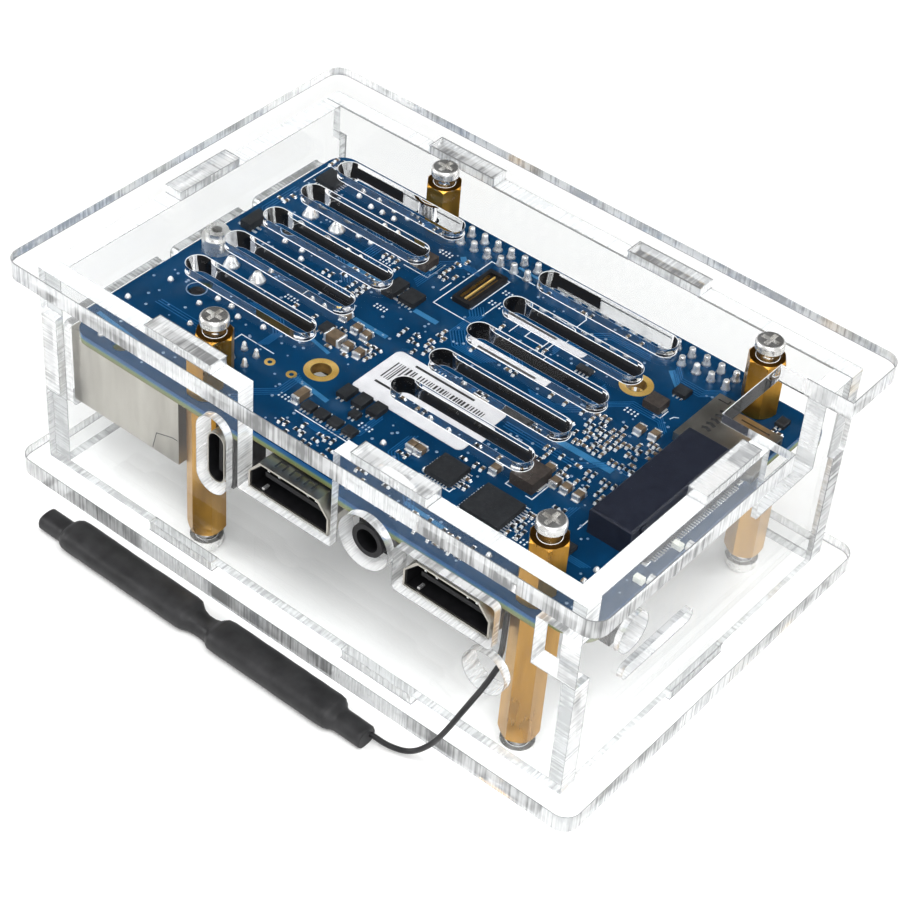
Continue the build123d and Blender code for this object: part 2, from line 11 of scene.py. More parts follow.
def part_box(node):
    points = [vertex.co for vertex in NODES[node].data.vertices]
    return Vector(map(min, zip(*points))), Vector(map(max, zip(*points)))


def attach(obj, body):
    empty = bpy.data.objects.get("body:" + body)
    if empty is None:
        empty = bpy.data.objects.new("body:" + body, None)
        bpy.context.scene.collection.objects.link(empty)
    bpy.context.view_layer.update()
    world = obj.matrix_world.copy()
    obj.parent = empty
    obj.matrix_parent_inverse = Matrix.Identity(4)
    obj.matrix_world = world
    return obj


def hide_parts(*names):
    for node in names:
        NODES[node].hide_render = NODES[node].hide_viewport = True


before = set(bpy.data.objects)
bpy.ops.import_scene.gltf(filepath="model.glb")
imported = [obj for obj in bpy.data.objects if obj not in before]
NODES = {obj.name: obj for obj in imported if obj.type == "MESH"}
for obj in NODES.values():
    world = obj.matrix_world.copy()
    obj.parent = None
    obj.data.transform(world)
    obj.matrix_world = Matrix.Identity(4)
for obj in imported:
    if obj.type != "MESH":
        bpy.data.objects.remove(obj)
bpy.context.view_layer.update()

BODY = "case_and_board"
MM = 0.001
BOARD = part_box("circuit_board")
BOARD_TOP = BOARD[1][2] / MM
BOARD_UNDER = BOARD[0][2] / MM
RNG = random.Random(7)
WELD = 0.000001


# ---------------------------------------------------------------- camera and lamp helpers

CAMERA_AZIMUTH = math.radians(-36.30)
CAMERA_ELEVATION = math.radians(41.68)
CAMERA_ROLL = math.radians(5.01)
CAMERA_DISTANCE = 0.3322
CAMERA_TARGET = Vector((0.00615, -0.0052, 0.0219))
CAMERA_LENS = 93.78
CAMERA_SENSOR = 36.0
LAMP_SIZE = 0.5


def add_camera():
    """Camera at the angle that shows the front, the right end and the top."""
    level = math.cos(CAMERA_ELEVATION)
    look = Vector((level * math.sin(CAMERA_AZIMUTH), level * math.cos(CAMERA_AZIMUTH),
                   -math.sin(CAMERA_ELEVATION)))
    right = look.cross(Vector((0, 0, 1))).normalized()
    up = right.cross(look)
    turn = Matrix.Rotation(CAMERA_ROLL, 3, -look)
    right, up = turn @ right, turn @ up
    data = bpy.data.cameras.new("camera")
    data.lens = CAMERA_LENS
    data.sensor_width = CAMERA_SENSOR
    data.clip_start = 0.01
    camera = bpy.data.objects.new("camera", data)
    camera.matrix_world = Matrix((right, up, -look)).transposed().to_4x4()
    camera.location = CAMERA_TARGET - look * CAMERA_DISTANCE
    bpy.context.scene.camera = link(camera)


def link(obj):
    """Puts an object into the scene and hands it back."""
    bpy.context.scene.collection.objects.link(obj)
    return obj


def area_light(name, place, target, power):
    """Square soft lamp that looks at a target."""
    data = bpy.data.lights.new(name, "AREA")
    data.shape = "SQUARE"
    data.size = LAMP_SIZE
    data.energy = power
    lamp = link(bpy.data.objects.new(name, data))
    lamp.location = place
    lamp.rotation_euler = (Vector(target) - Vector(place)).to_track_quat("-Z", "Y").to_euler()


add_camera()


# ---------------------------------------------------------------- shader helper

def fill(node, **values):
    """Sets attributes and socket constants of a node by name, with _ for a space."""
    for key, value in values.items():
        if hasattr(node, key):
            setattr(node, key, value)
        else:
            node.inputs[key.replace("_", " ")].default_value = value
    return node


class Shader:
    """A material under construction, with short calls for the nodes used here."""

    def __init__(self, name):
        self.material = bpy.data.materials.new(name)
        self.material.use_nodes = True
        self.tree = self.material.node_tree
        self.bsdf = self.tree.nodes["Principled BSDF"]
        self.output = self.tree.nodes["Material Output"]
        self.place = self.node("TexCoord").outputs["Object"]

    def node(self, kind, **values):
        return fill(self.tree.nodes.new("ShaderNode" + kind), **values)

    def join(self, source, target):
        self.tree.links.new(source, target)

    def math(self, operation, a, b=None):
        new = self.node("Math", operation=operation)
        for socket, value in zip(new.inputs, (a, b)):
            if value is None:
                continue
            if isinstance(value, (int, float)):
                socket.default_value = value
            else:
                self.join(value, socket)
        return new.outputs[0]

    def stretched(self, scale):
        mapping = self.node("Mapping", Scale=scale)
        self.join(self.place, mapping.inputs["Vector"])
        return mapping.outputs[0]

    def noise(self, scale, detail=3.0, vector=None):
        new = self.node("TexNoise", Scale=scale, Detail=detail)
        self.join(vector or self.place, new.inputs["Vector"])
        return new.outputs["Fac"]

    def ramp(self, factor, low, high, start=0.3, end=0.7):
        new = self.node("ValToRGB")
        first, last = new.color_ramp.elements
        first.position, first.color = start, (*low, 1)
        last.position, last.color = end, (*high, 1)
        self.join(factor, new.inputs[0])
        return new.outputs[0]

    def spread(self, factor, low, high, start=0.0, end=1.0):
        new = self.node("MapRange", From_Min=start, From_Max=end, To_Min=low, To_Max=high)
        self.join(factor, new.inputs[0])
        return new.outputs[0]

    def bump(self, height, strength, distance):
        new = self.node("Bump", Distance=distance)
        if isinstance(strength, (int, float)):
            new.inputs["Strength"].default_value = strength
        else:
            self.join(strength, new.inputs["Strength"])
        self.join(height, new.inputs["Height"])
        self.join(new.outputs[0], self.bsdf.inputs["Normal"])

    def blend(self, share, first, second):
        new = self.node("MixShader")
        self.join(share, new.inputs[0])
        self.join(first, new.inputs[1])
        self.join(second, new.inputs[2])
        return new.outputs[0]

    def axis_part(self, axis):
        """How far a face looks along one axis, from 0 to 1."""
        parts = self.node("SeparateXYZ")
        self.join(self.node("NewGeometry").outputs["True Normal"], parts.inputs[0])
        return self.math("ABSOLUTE", parts.outputs["XYZ".index(axis)])


SURFACE_RELIEF = 0.00005


def surface(name, low, high, scale, roughness, metallic=0.0, bump=0.0, stretch=None, coat=0.0,
            specular=0.5):
    """A solid surface whose colour, roughness and relief vary a little."""
    shader = Shader(name)
    vector = shader.stretched(stretch) if stretch else None
    cloud = shader.noise(scale, 4.0, vector)
    shader.join(shader.ramp(cloud, low, high), shader.bsdf.inputs["Base Color"])
    shader.join(shader.spread(cloud, *roughness), shader.bsdf.inputs["Roughness"])
    fill(shader.bsdf, Metallic=metallic, Coat_Weight=coat, Specular_IOR_Level=specular)
    if bump:
        shader.bump(shader.noise(scale * 4, 2.0, vector), bump, SURFACE_RELIEF)
    return shader.material


# ---------------------------------------------------------------- materials

# Light that was mirrored more often than this goes straight on, as it would otherwise end black
MOST_MIRRORINGS = 2.5
# Half extents of the middle of the plates, where the vents and the screw holes are
VENT_FIELD = (0.0445, 0.0272)
# Facing along the sheet's axis: polished faces above the first limit, melted rims above the second
FACE_LIMIT = 0.97
RIM_LIMIT = 0.2
# Noise scale across the ribs of a cut edge, and along them
RIB_SCALE = (2400.0, 60.0)
RIB_RELIEF = 0.0002
RIM_FROST = 0.85
FROST_SHARES = (0.3, 0.72)


def acrylic(name, axis):
    """Clear sheet that faces along axis: polished faces, ribbed cut edges and melted rims, pale in the vent
    field and elsewhere painted dark grey, a painted shade for the dark lines that the edges reflect.

    Edges inside the vent field stay clear, and light trapped in them is dimmed to grey there, a painted
    shade for the dark look of the vent walls.
    """
    shader = Shader(name)
    bsdf = fill(shader.bsdf, Base_Color=(0.97, 0.975, 0.975, 1), Transmission_Weight=1.0, IOR=1.49,
                Specular_Tint=(0.12, 0.12, 0.12, 1))
    facing = shader.axis_part(axis)
    edge = shader.math("LESS_THAN", facing, FACE_LIMIT)
    rim = shader.math("MULTIPLY", edge, shader.math("GREATER_THAN", facing, RIM_LIMIT))
    place = shader.node("SeparateXYZ")
    shader.join(shader.place, place.inputs[0])
    vents = 1.0 if axis == "Z" else 0.0
    for part, limit in zip(place.outputs, VENT_FIELD):
        within = shader.math("LESS_THAN", shader.math("ABSOLUTE", part), limit)
        vents = shader.math("MULTIPLY", within, vents)
    elsewhere = shader.math("SUBTRACT", 1.0, vents)
    ribs = [RIB_SCALE[1] if other == axis else RIB_SCALE[0] for other in "XYZ"]
    grain = shader.noise(1.0, 3.0, shader.stretched(ribs))
    patches = shader.noise(220.0, 2.0)
    ribbed = shader.math("MULTIPLY", edge, elsewhere)
    shader.join(shader.math("MULTIPLY", ribbed, shader.spread(grain, 0.0, 0.12)),
                bsdf.inputs["Roughness"])
    shader.bump(grain, shader.math("MULTIPLY", ribbed, 0.2), RIB_RELIEF)
    frost = shader.node("BsdfPrincipled", Roughness=0.35)
    # Painted shade: outside the vent field the rims take a dark grey frost colour, standing in for the dark
    # lines that the edges reflect.
    painted_dark_rim = shader.math("MULTIPLY", rim, elsewhere)
    shader.join(shader.ramp(painted_dark_rim, (0.76, 0.77, 0.775), (0.2, 0.205, 0.21), 0.0, 1.0),
                frost.inputs["Base Color"])
    cut = shader.spread(shader.math("MULTIPLY", grain, patches), *FROST_SHARES, 0.18, 0.32)
    cut = shader.math("MULTIPLY", cut, elsewhere)
    melted = shader.math("MULTIPLY", rim, RIM_FROST)
    share = shader.math("MULTIPLY", edge, shader.math("MAXIMUM", cut, melted))
    solid = shader.blend(share, bsdf.outputs[0], frost.outputs[0])
    path = shader.node("LightPath")
    lost = shader.math("GREATER_THAN", path.outputs["Glossy Depth"], MOST_MIRRORINGS)
    # Painted shade: light trapped in the sheet comes out grey inside the vent field, standing in for the
    # dark vent walls; elsewhere it comes out white.
    trapped_painted_shade = shader.node("BsdfTransparent")
    shader.join(shader.ramp(vents, (1, 1, 1), (0.34, 0.36, 0.4), 0.0, 1.0), trapped_painted_shade.inputs["Color"])
    clear = shader.node("BsdfTransparent", Color=(1, 1, 1, 1))
    seen = shader.blend(lost, solid, trapped_painted_shade.outputs[0])
    shader.join(shader.blend(path.outputs["Is Shadow Ray"], seen, clear.outputs[0]),
                shader.output.inputs["Surface"])
    return shader.material


def board_laminate():
    """Blue solder mask on the faces and bare woven laminate on the lower half of the edge."""
    shader = Shader("solder_mask")
    cloud = shader.noise(120.0, 3.0)
    mask_colour = shader.ramp(cloud, (0.0014, 0.030, 0.078), (0.0022, 0.042, 0.108))
    parts = shader.node("SeparateXYZ")
    shader.join(shader.place, parts.inputs[0])
    level = shader.spread(parts.outputs[2], 0.0, 1.0, BOARD[0][2], BOARD[1][2])
    edge_colour = shader.ramp(level, (0.16, 0.15, 0.06), (0.004, 0.06, 0.2), 0.0, 1.0)
    for height, colour in ((0.42, (0.16, 0.22, 0.10, 1)), (0.62, (0.02, 0.11, 0.22, 1))):
        edge_colour.node.color_ramp.elements.new(height).color = colour
    edge = shader.math("LESS_THAN", shader.axis_part("Z"), 0.5)
    mix = shader.node("Mix", data_type="RGBA")
    shader.join(edge, mix.inputs["Factor"])
    shader.join(mask_colour, mix.inputs[6])
    shader.join(edge_colour, mix.inputs[7])
    shader.join(mix.outputs[2], shader.bsdf.inputs["Base Color"])
    shader.join(shader.spread(shader.noise(900.0), 0.12, 0.22), shader.bsdf.inputs["Roughness"])
    fill(shader.bsdf, Specular_IOR_Level=0.3)
    shader.bump(shader.noise(500.0, 2.0), 0.12, 0.0001)
    return shader.material


MATERIALS = {
    "brass": surface(
        "bright_brass", (0.27, 0.13, 0.016), (0.60, 0.34, 0.065), 260, (0.22, 0.36), 0.92, 0.25,
        stretch=(1, 1, 0.15)),
    "steel": surface("plated_screw", (0.66, 0.65, 0.63), (0.88, 0.88, 0.87), 500, (0.2, 0.34), 0.85, 0.08),
    "tin": surface(
        "tinned_sheet", (0.42, 0.40, 0.36), (0.60, 0.58, 0.53), 300, (0.25, 0.4), 1.0, 0.1,
        stretch=(1, 1, 0.2)),
    "solder": surface("solder", (0.62, 0.62, 0.62), (0.90, 0.91, 0.92), 700, (0.2, 0.36), 0.78, 0.2),
    "gold": surface("gold_plate", (0.74, 0.46, 0.10), (0.95, 0.68, 0.25), 400, (0.3, 0.45), 0.75, 0.1),
    "black": surface(
        "black_moulding", (0.006, 0.006, 0.007), (0.014, 0.014, 0.016), 900, (0.38, 0.5), bump=0.25,
        specular=0.35),
    "navy": surface(
        "connector_moulding", (0.007, 0.009, 0.018), (0.013, 0.016, 0.028), 900, (0.4, 0.55), bump=0.2,
        specular=0.35),
    "chip": surface(
        "chip_resin", (0.009, 0.010, 0.012), (0.022, 0.024, 0.027), 1400, (0.45, 0.6), bump=0.5,
        specular=0.35),
    "ferrite": surface(
        "ferrite", (0.025, 0.020, 0.017), (0.060, 0.048, 0.042), 1600, (0.5, 0.7), bump=0.6, specular=0.35),
    "ceramic": surface(
        "ceramic_body", (0.085, 0.060, 0.038), (0.17, 0.125, 0.08), 1200, (0.35, 0.55), bump=0.3,
        specular=0.4),
    "paper": surface(
        "label_paper", (0.52, 0.52, 0.54), (0.60, 0.60, 0.615), 500, (0.45, 0.6), bump=0.1, specular=0.3),
    "blue": surface("blue_moulding", (0.01, 0.06, 0.35), (0.02, 0.10, 0.5), 900, (0.35, 0.5), bump=0.2),
    "sleeve": surface(
        "shrink_sleeve", (0.017, 0.017, 0.018), (0.038, 0.038, 0.040), 420, (0.38, 0.55), bump=0.3,
        specular=0.4),
    "jacket": surface(
        "coax_jacket", (0.008, 0.008, 0.009), (0.02, 0.02, 0.022), 900, (0.3, 0.45), bump=0.15),
    "trace": surface(
        "covered_copper", (0.004, 0.065, 0.17), (0.008, 0.09, 0.22), 700, (0.25, 0.35), specular=0.3),
    "pour": surface(
        "copper_pour", (0.02, 0.12, 0.24), (0.035, 0.16, 0.31), 500, (0.25, 0.35), specular=0.3),
    "via": surface("tented_hole", (0.10, 0.19, 0.32), (0.35, 0.42, 0.5), 3000, (0.25, 0.4), 0.3),
    "silk": surface(
        "white_ink", (0.50, 0.53, 0.56), (0.70, 0.72, 0.74), 2500, (0.5, 0.65), bump=0.2, specular=0.3),
    "ink": surface("black_ink", (0.010, 0.010, 0.011), (0.03, 0.03, 0.032), 2500, (0.5, 0.65), bump=0.1),
    # Darker gold: on the hole plating it is a painted shade for the shadowed inside of the cooler holes; the
    # module connector's contacts use it too.
    "bore": surface("plated_bore", (0.16, 0.09, 0.02), (0.34, 0.20, 0.06), 900, (0.4, 0.55), 0.8, 0.2),
    "lens": surface("light_lens", (0.7, 0.72, 0.66), (0.85, 0.86, 0.8), 800, (0.2, 0.3), coat=0.5),
    "board": board_laminate(),
    "sheet_x": acrylic("acrylic_x", "X"),
    "sheet_y": acrylic("acrylic_y", "Y"),
    "sheet_z": acrylic("acrylic_z", "Z"),
}

NODE_MATERIALS = {
    "sheet_z": ("bottom_plate", "top_plate"),
    "sheet_y": ("front_wall", "back_wall"),
    "sheet_x": ("left_wall", "right_wall"),
    "brass": ("lower_standoffs", "upper_standoffs"),
    "steel": ("top_screws", "bottom_screws", "drive_standoff"),
    "tin": ("card_socket", "wireless_module", "power_socket_shell", "display_socket_1_shell",
            "display_socket_2_shell", "network_socket_shell", "usb_stack_1_shell", "usb_stack_2_shell",
            "button_dome"),
    "board": ("circuit_board", "antenna_radiator"),
    "navy": ("drive_connector",),
    "black": ("module_connector", "power_socket_tongue", "power_socket_bracket", "display_socket_1_tongue",
              "display_socket_2_tongue", "audio_socket", "network_socket_insert", "header_base",
              "button_body", "button_plunger"),
    "chip": ("controller_chips", "switching_transistors", "processor", "memory_chips", "power_manager"),
    "ferrite": ("power_inductors",),
    "ceramic": ("ceramic_capacitors",),
    "paper": ("product_label",),
    "blue": ("usb_stack_1_tongues", "usb_stack_2_tongues"),
    "gold": ("header_pins", "antenna_socket", "antenna_plug"),
    "sleeve": ("antenna_sleeve",),
    "lens": ("status_lights",),
}


def dress_nodes():
    """Gives every CAD node its finished material."""
    for key, names in NODE_MATERIALS.items():
        for name in names:
            node = NODES[name]
            if not node.material_slots:
                node.data.materials.append(MATERIALS[key])
            for slot in node.material_slots:
                slot.material = MATERIALS[key]


SHEET_BEVEL = 0.0002
FLAT_ANGLE = math.radians(0.5)
RIM_ANGLE = math.radians(40)


def round_sheets():
    """Slightly melted rims on the cut edges of the clear sheets."""
    for key in ("sheet_x", "sheet_y", "sheet_z"):
        for name in NODE_MATERIALS[key]:
            weld = NODES[name].modifiers.new("weld", "WELD")
            weld.merge_threshold = WELD
            flat = NODES[name].modifiers.new("flat", "DECIMATE")
            flat.decimate_type = "DISSOLVE"
            flat.angle_limit = FLAT_ANGLE
            rim = NODES[name].modifiers.new("rim", "BEVEL")
            rim.width = SHEET_BEVEL
            rim.segments = 2
            rim.limit_method = "ANGLE"
            rim.angle_limit = RIM_ANGLE


dress_nodes()
round_sheets()


# ---------------------------------------------------------------- mesh helpers, in millimetres

def piece(name, build, material, body=BODY):
    """One mesh piece on a CAD body, from a function that fills a bmesh in millimetres."""
    form = bmesh.new()
    build(form)
    bmesh.ops.recalc_face_normals(form, faces=form.faces)
    bmesh.ops.scale(form, vec=(MM, MM, MM), verts=form.verts)
    mesh = bpy.data.meshes.new(name)
    form.to_mesh(mesh)
    form.free()
    mesh.materials.append(material)
    obj = link(bpy.data.objects.new(name, mesh))
    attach(obj, body)
    return obj


def bridge(form, rows, smooth=False):
    """Faces between each ring of vertices and the next."""
    for low, high in zip(rows, rows[1:]):
        for i in range(len(low)):
            j = (i + 1) % len(low)
            form.faces.new((low[i], low[j], high[j], high[i])).smooth = smooth


def skin(form, rings, smooth=False):
    """A closed skin over a row of rings of points."""
    rows = [[form.verts.new(point) for point in ring] for ring in rings]
    bridge(form, rows, smooth)
    form.faces.new(rows[0][::-1])
    form.faces.new(rows[-1])


def slab(form, x, y, z, chamfer=0.04):
    """A block between limits, with its upper edges chamfered."""
    def ring(level, inset):
        return [(x[0] + inset, y[0] + inset, level), (x[1] - inset, y[0] + inset, level),
                (x[1] - inset, y[1] - inset, level), (x[0] + inset, y[1] - inset, level)]
    skin(form, [ring(z[0], 0.0), ring(z[1] - chamfer, 0.0), ring(z[1], chamfer)])


def circle(segments):
    """Cosine and sine of evenly spaced turns."""
    turns = [math.tau * i / segments for i in range(segments)]
    return [(math.cos(turn), math.sin(turn)) for turn in turns]


def lathe(form, x, y, profile, segments):
    """A turned shape from (radius, level) pairs about an upright axis."""
    turns = circle(segments)
    skin(form, [[(x + r * cos, y + r * sin, z) for cos, sin in turns] for r, z in profile], True)


def washer(form, x, y, radii, z, segments=40):
    """A flat ring between two radii and two levels."""
    section = [(radii[0], z[0]), (radii[1], z[0]), (radii[1], z[1]), (radii[0], z[1])]
    rows = [[form.verts.new((x + r * cos, y + r * sin, level)) for r, level in section]
            for cos, sin in circle(segments)]
    bridge(form, rows + rows[:1])


def ribbon(form, points, width, z):
    """A flat track of constant width along points on the board."""
    places = [Vector(point) for point in points]
    rings = []
    for i, place in enumerate(places):
        before = (place - places[i - 1]).normalized() if i else None
        after = (places[i + 1] - place).normalized() if i + 1 < len(places) else before
        before = before or after
        along = (before + after).normalized()
        side = Vector((-along.y, along.x)) * (width / 2 / max(along.dot(after), 0.5))
        left, right = place + side, place - side
        rings.append([(left.x, left.y, z[0]), (right.x, right.y, z[0]),
                      (right.x, right.y, z[1]), (left.x, left.y, z[1])])
    skin(form, rings)


def islands(node):
    """Low and high corner, in millimetres, of each separate solid of a CAD node."""
    form = bmesh.new()
    form.from_mesh(NODES[node].data)
    bmesh.ops.remove_doubles(form, verts=form.verts, dist=WELD)
    seen, found = set(), []
    for start in form.verts:
        if start in seen:
            continue
        seen.add(start)
        group, queue = [], [start]
        while queue:
            vert = queue.pop()
            group.append(vert.co / MM)
            for edge in vert.link_edges:
                other = edge.other_vert(vert)
                if other not in seen:
                    seen.add(other)
                    queue.append(other)
        found.append([[f(p[axis] for p in group) for axis in range(3)] for f in (min, max)])
    form.free()
    return found


def millimetres(node):
    """Limits of a CAD node along each axis, in millimetres."""
    low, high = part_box(node)
    return [(low[axis] / MM, high[axis] / MM) for axis in range(3)]


def both(pattern):
    """Limits of the two CAD nodes whose names differ by their number."""
    return [millimetres(pattern.format(number)) for number in (1, 2)]


def centre(span):
    """Middle of a pair of limits."""
    return (span[0] + span[1]) / 2


def around(middle, size):
    """Limits of a stretch of a given size about its middle."""
    return (middle - size / 2, middle + size / 2)


def area(x, y, length, width):
    """Limits of a rectangle about its middle."""
    return around(x, length), around(y, width)


# ---------------------------------------------------------------- antenna and its lead

SLEEVE_STATIONS = (
    (-41.4, 3.2, 2.5), (-41.15, 3.6, 2.85), (-37.2, 3.6, 2.9), (-36.6, 3.9, 3.0), (-36.2, 4.9, 3.5),
    (-35.6, 5.45, 3.75), (-34.6, 5.6, 3.8), (-24.0, 5.55, 3.75), (-12.9, 5.6, 3.8), (-12.0, 5.4, 3.7),
    (-11.4, 4.7, 3.3), (-10.6, 3.9, 2.95), (-9.6, 3.55, 2.75), (-8.4, 3.55, 2.8), (-7.5, 4.0, 3.0),
    (-6.9, 4.8, 3.4), (-6.3, 5.4, 3.7), (-5.3, 5.6, 3.8), (5.0, 5.55, 3.78), (14.4, 5.6, 3.8),
    (15.2, 5.4, 3.7), (15.7, 4.8, 3.4), (16.1, 3.9, 3.0), (16.7, 3.6, 2.9), (20.9, 3.6, 2.85),
    (21.2, 3.3, 2.6),
)
SLEEVE_LINE = -39.35
SLEEVE_STEP = 0.5
SLEEVE_SEGMENTS = 36
SLEEVE_SQUARENESS = 0.78


def sleeve_size(x):
    """Width and height of the shrink sleeve at a place along it."""
    for (x0, w0, h0), (x1, w1, h1) in zip(SLEEVE_STATIONS, SLEEVE_STATIONS[1:]):
        if x <= x1:
            share = (x - x0) / (x1 - x0)
            share = share * share * (3 - 2 * share)
            return w0 + (w1 - w0) * share, h0 + (h1 - h0) * share
    return SLEEVE_STATIONS[-1][1:]


def build_sleeve(form):
    """Flattened round tube, shrunk tight over two cores, with small dents."""
    stations = {round(x, 2) for x, _, _ in SLEEVE_STATIONS}
    start, end = SLEEVE_STATIONS[0][0], SLEEVE_STATIONS[-1][0]
    stations |= {round(start + SLEEVE_STEP * i, 2) for i in range(1, int((end - start) / SLEEVE_STEP))}
    rings = []
    for x in sorted(stations):
        width, height = sleeve_size(x)
        ring = []
        for cos, sin in circle(SLEEVE_SEGMENTS):
            across = math.copysign(abs(cos) ** SLEEVE_SQUARENESS, cos)
            up = math.copysign(abs(sin) ** SLEEVE_SQUARENESS, sin)
            dent = 0.07 * noise.noise(Vector((x * 0.45, across * 1.6, up * 1.6)))
            grow = 1 - 0.015 + dent * 0.25
            ring.append((x, SLEEVE_LINE + across * width / 2 * grow,
                         height / 2 + up * height / 2 * (grow if up > 0 else 1.0)))
        rings.append(ring)
    skin(form, rings, True)


LEAD_DIAMETER = 0.00081
LEAD_ROUTE = (
    (0.0160, -0.0391, 0.00165), (0.0212, -0.0385, 0.00145), (0.0241, -0.0383, 0.0011),
    (0.0272, -0.0373, 0.0013), (0.0299, -0.0365, 0.0043), (0.0320, -0.0362, 0.0086),
    (0.0336, -0.0350, 0.0129), (0.0343, -0.0312, 0.0157), (0.0350, -0.0283, 0.0198),
    (0.0350, -0.0280, 0.0242), (0.0340, -0.0265, 0.0275), (0.0339, -0.0222, 0.02815),
    (0.0341, -0.0180, 0.02775),
)


def antenna():
    """The shrink sleeve, and the coaxial lead from inside it to the plug under the board."""
    sleeve = piece("antenna_shrink_sleeve", build_sleeve, MATERIALS["sleeve"])
    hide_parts("antenna_sleeve")
    data = bpy.data.curves.new("antenna_coax", "CURVE")
    data.dimensions = "3D"
    data.bevel_depth = LEAD_DIAMETER / 2
    data.bevel_resolution = 6
    data.resolution_u = 16
    data.use_fill_caps = True
    spline = data.splines.new("NURBS")
    spline.points.add(len(LEAD_ROUTE) - 1)
    for point, place in zip(spline.points, LEAD_ROUTE):
        point.co = (*place, 1.0)
    spline.order_u = 3
    spline.use_endpoint_u = True
    lead = link(bpy.data.objects.new("antenna_coax", data))
    data.materials.append(MATERIALS["jacket"])
    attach(lead, BODY)
    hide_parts("antenna_lead")


antenna()


# ---------------------------------------------------------------- board details, in millimetres

ON_BOARD = ("drive_connector", "drive_standoff", "card_socket", "module_connector", "power_inductors",
            "controller_chips", "switching_transistors", "ceramic_capacitors", "product_label",
            "upper_standoffs", "header_pins")
COOLER_HOLES = ((-11.3, -13.8), (22.6, 14.5))
SMALL_RINGS = ((-17.6, -17.5), (-13.6, -17.4))
PEG_HOLE = (-36.3, -12.8)
SHELL_JOINTS = ((-36.7, 12.0), (-31.4, 12.0), (-36.7, -5.2), (-31.5, -5.2))
PIN_JOINTS = (
    (-34.9, 4.4), (-31.6, 4.5), (-30.3, 2.9), (-34.6, 20.7), (-31.5, 19.9), (-29.3, 20.0),
    (-27.0, 20.0), (-28.2, 21.6), (-25.6, 21.6), (-28.0, 13.1), (-25.6, 13.1), (-32.5, -12.4),
    (-29.9, -12.3), (-27.6, -13.4), (-23.4, -12.6), (-33.7, -15.0), (-40.5, -13.9), (-31.4, -19.2),
    (-42.0, -21.0), (-40.0, -26.6), (6.4, -26.4), (9.8, -26.2), (30.2, -26.0), (40.8, -18.9),
    (40.8, -21.6), (29.0, -24.8), (37.8, -12.0), (-38.5, 16.0), (12.6, -19.6), (5.0, -19.4),
)
TALL_JOINTS = ((-22.1, -17.9), (-19.8, -17.9), (-22.1, -20.5), (-19.6, -20.5))
# Places, (radius, height over the board) pairs and segments of each kind of joint
JOINT_SHAPES = (
    (SHELL_JOINTS, ((1.35, -0.05), (1.15, 0.3), (0.8, 0.9), (0.5, 1.45), (0.2, 1.6)), 18),
    (TALL_JOINTS, ((0.62, -0.05), (0.45, 0.3), (0.3, 1.1), (0.14, 1.35)), 14),
    (PIN_JOINTS, ((0.52, -0.05), (0.44, 0.2), (0.24, 0.55), (0.1, 0.65)), 14),
)
FACE = (BOARD_TOP - 0.05, BOARD_TOP + 0.03)
TRACK_WIDTH = 0.17
PRINT_WIDTH = 0.16
VIA_TRIES = 420
VIA_FIELD = ((-43, 43.6), (-27.4, 21.0))

taken = []


def take(x, y, margin=0.15):
    """Marks a rectangle of the board as in use."""
    taken.append((x[0] - margin, x[1] + margin, y[0] - margin, y[1] + margin))


def is_free(x, y):
    """True if a rectangle meets nothing that is already on the board."""
    return not any(x[0] < r[1] and x[1] > r[0] and y[0] < r[3] and y[1] > r[2] for r in taken)


def take_places(places, size):
    """Marks a square round each of some places."""
    for x, y in places:
        take(*area(x, y, size, size))


def take_nodes(nodes, margin):
    """Marks the solids of CAD nodes, and the cooler's holes."""
    for node in nodes:
        for low, high in islands(node):
            take((low[0], high[0]), (low[1], high[1]), margin)
    take_places(COOLER_HOLES, 5.4)


def reserve_board():
    """Marks what the CAD parts, holes and solder joints use."""
    take_nodes(ON_BOARD, 0.15)
    take_places((PEG_HOLE, *SHELL_JOINTS), 3.2)
    take_places((*PIN_JOINTS, *TALL_JOINTS, *SMALL_RINGS), 1.3)


TRACKS = (
    (((-9.2, 18.6), (-12.5, 18.6), (-14.6, 16.5), (-14.6, 10.4)), 5, 0.42),
    (((-4.6, 12.2), (-3.2, 10.8), (-3.2, 6.2), (-0.8, 3.8), (4.6, 3.8)), 6, 0.42),
    (((34.9, -1.2), (30.2, -1.2), (26.6, -4.8), (14.4, -4.8)), 3, 0.5),
    (((33.0, 22.0), (30.4, 19.4), (26.6, 19.4), (24.6, 21.4)), 5, 0.42),
    (((20.6, 20.6), (13.5, 20.6), (9.6, 16.7), (9.6, 12.0)), 4, 0.45),
    (((-27.6, 17.4), (-24.2, 14.0), (-24.2, 6.0), (-21.8, 3.6)), 5, 0.45),
    (((-30.0, -8.3), (-24.6, -8.3), (-21.0, -11.9), (-21.0, -15.6)), 5, 0.42),
    (((-6.0, -23.4), (-2.2, -23.4), (1.2, -20.0), (1.2, -15.2)), 4, 0.42),
    (((16.2, -25.4), (13.0, -22.2), (9.5, -22.2), (7.0, -19.7), (7.0, -15.4)), 4, 0.42),
    (((-16.4, -25.2), (-12.4, -21.2), (-12.4, -16.8)), 4, 0.42),
    (((39.5, -19.5), (35.0, -19.5), (31.6, -16.1), (31.6, -11.4)), 4, 0.42),
    (((12.8, 2.6), (17.4, 2.6), (20.0, 5.2), (20.0, 11.0)), 5, 0.42),
    (((-40.4, 10.2), (-29.0, 10.2), (-25.8, 7.0), (-19.5, 7.0)), 3, 0.5),
    (((-42.8, 16.0), (-42.8, 8.6), (-39.6, 5.4)), 3, 0.5),
    (((-38.4, -18.5), (-30.0, -18.5), (-26.8, -21.7), (-25.0, -21.7)), 3, 0.5),
    (((31.6, 8.6), (29.5, 10.7), (24.6, 10.7), (22.0, 8.1)), 4, 0.42),
    (((14.5, 6.5), (8.0, 6.5), (4.6, 9.9)), 5, 0.42),
)
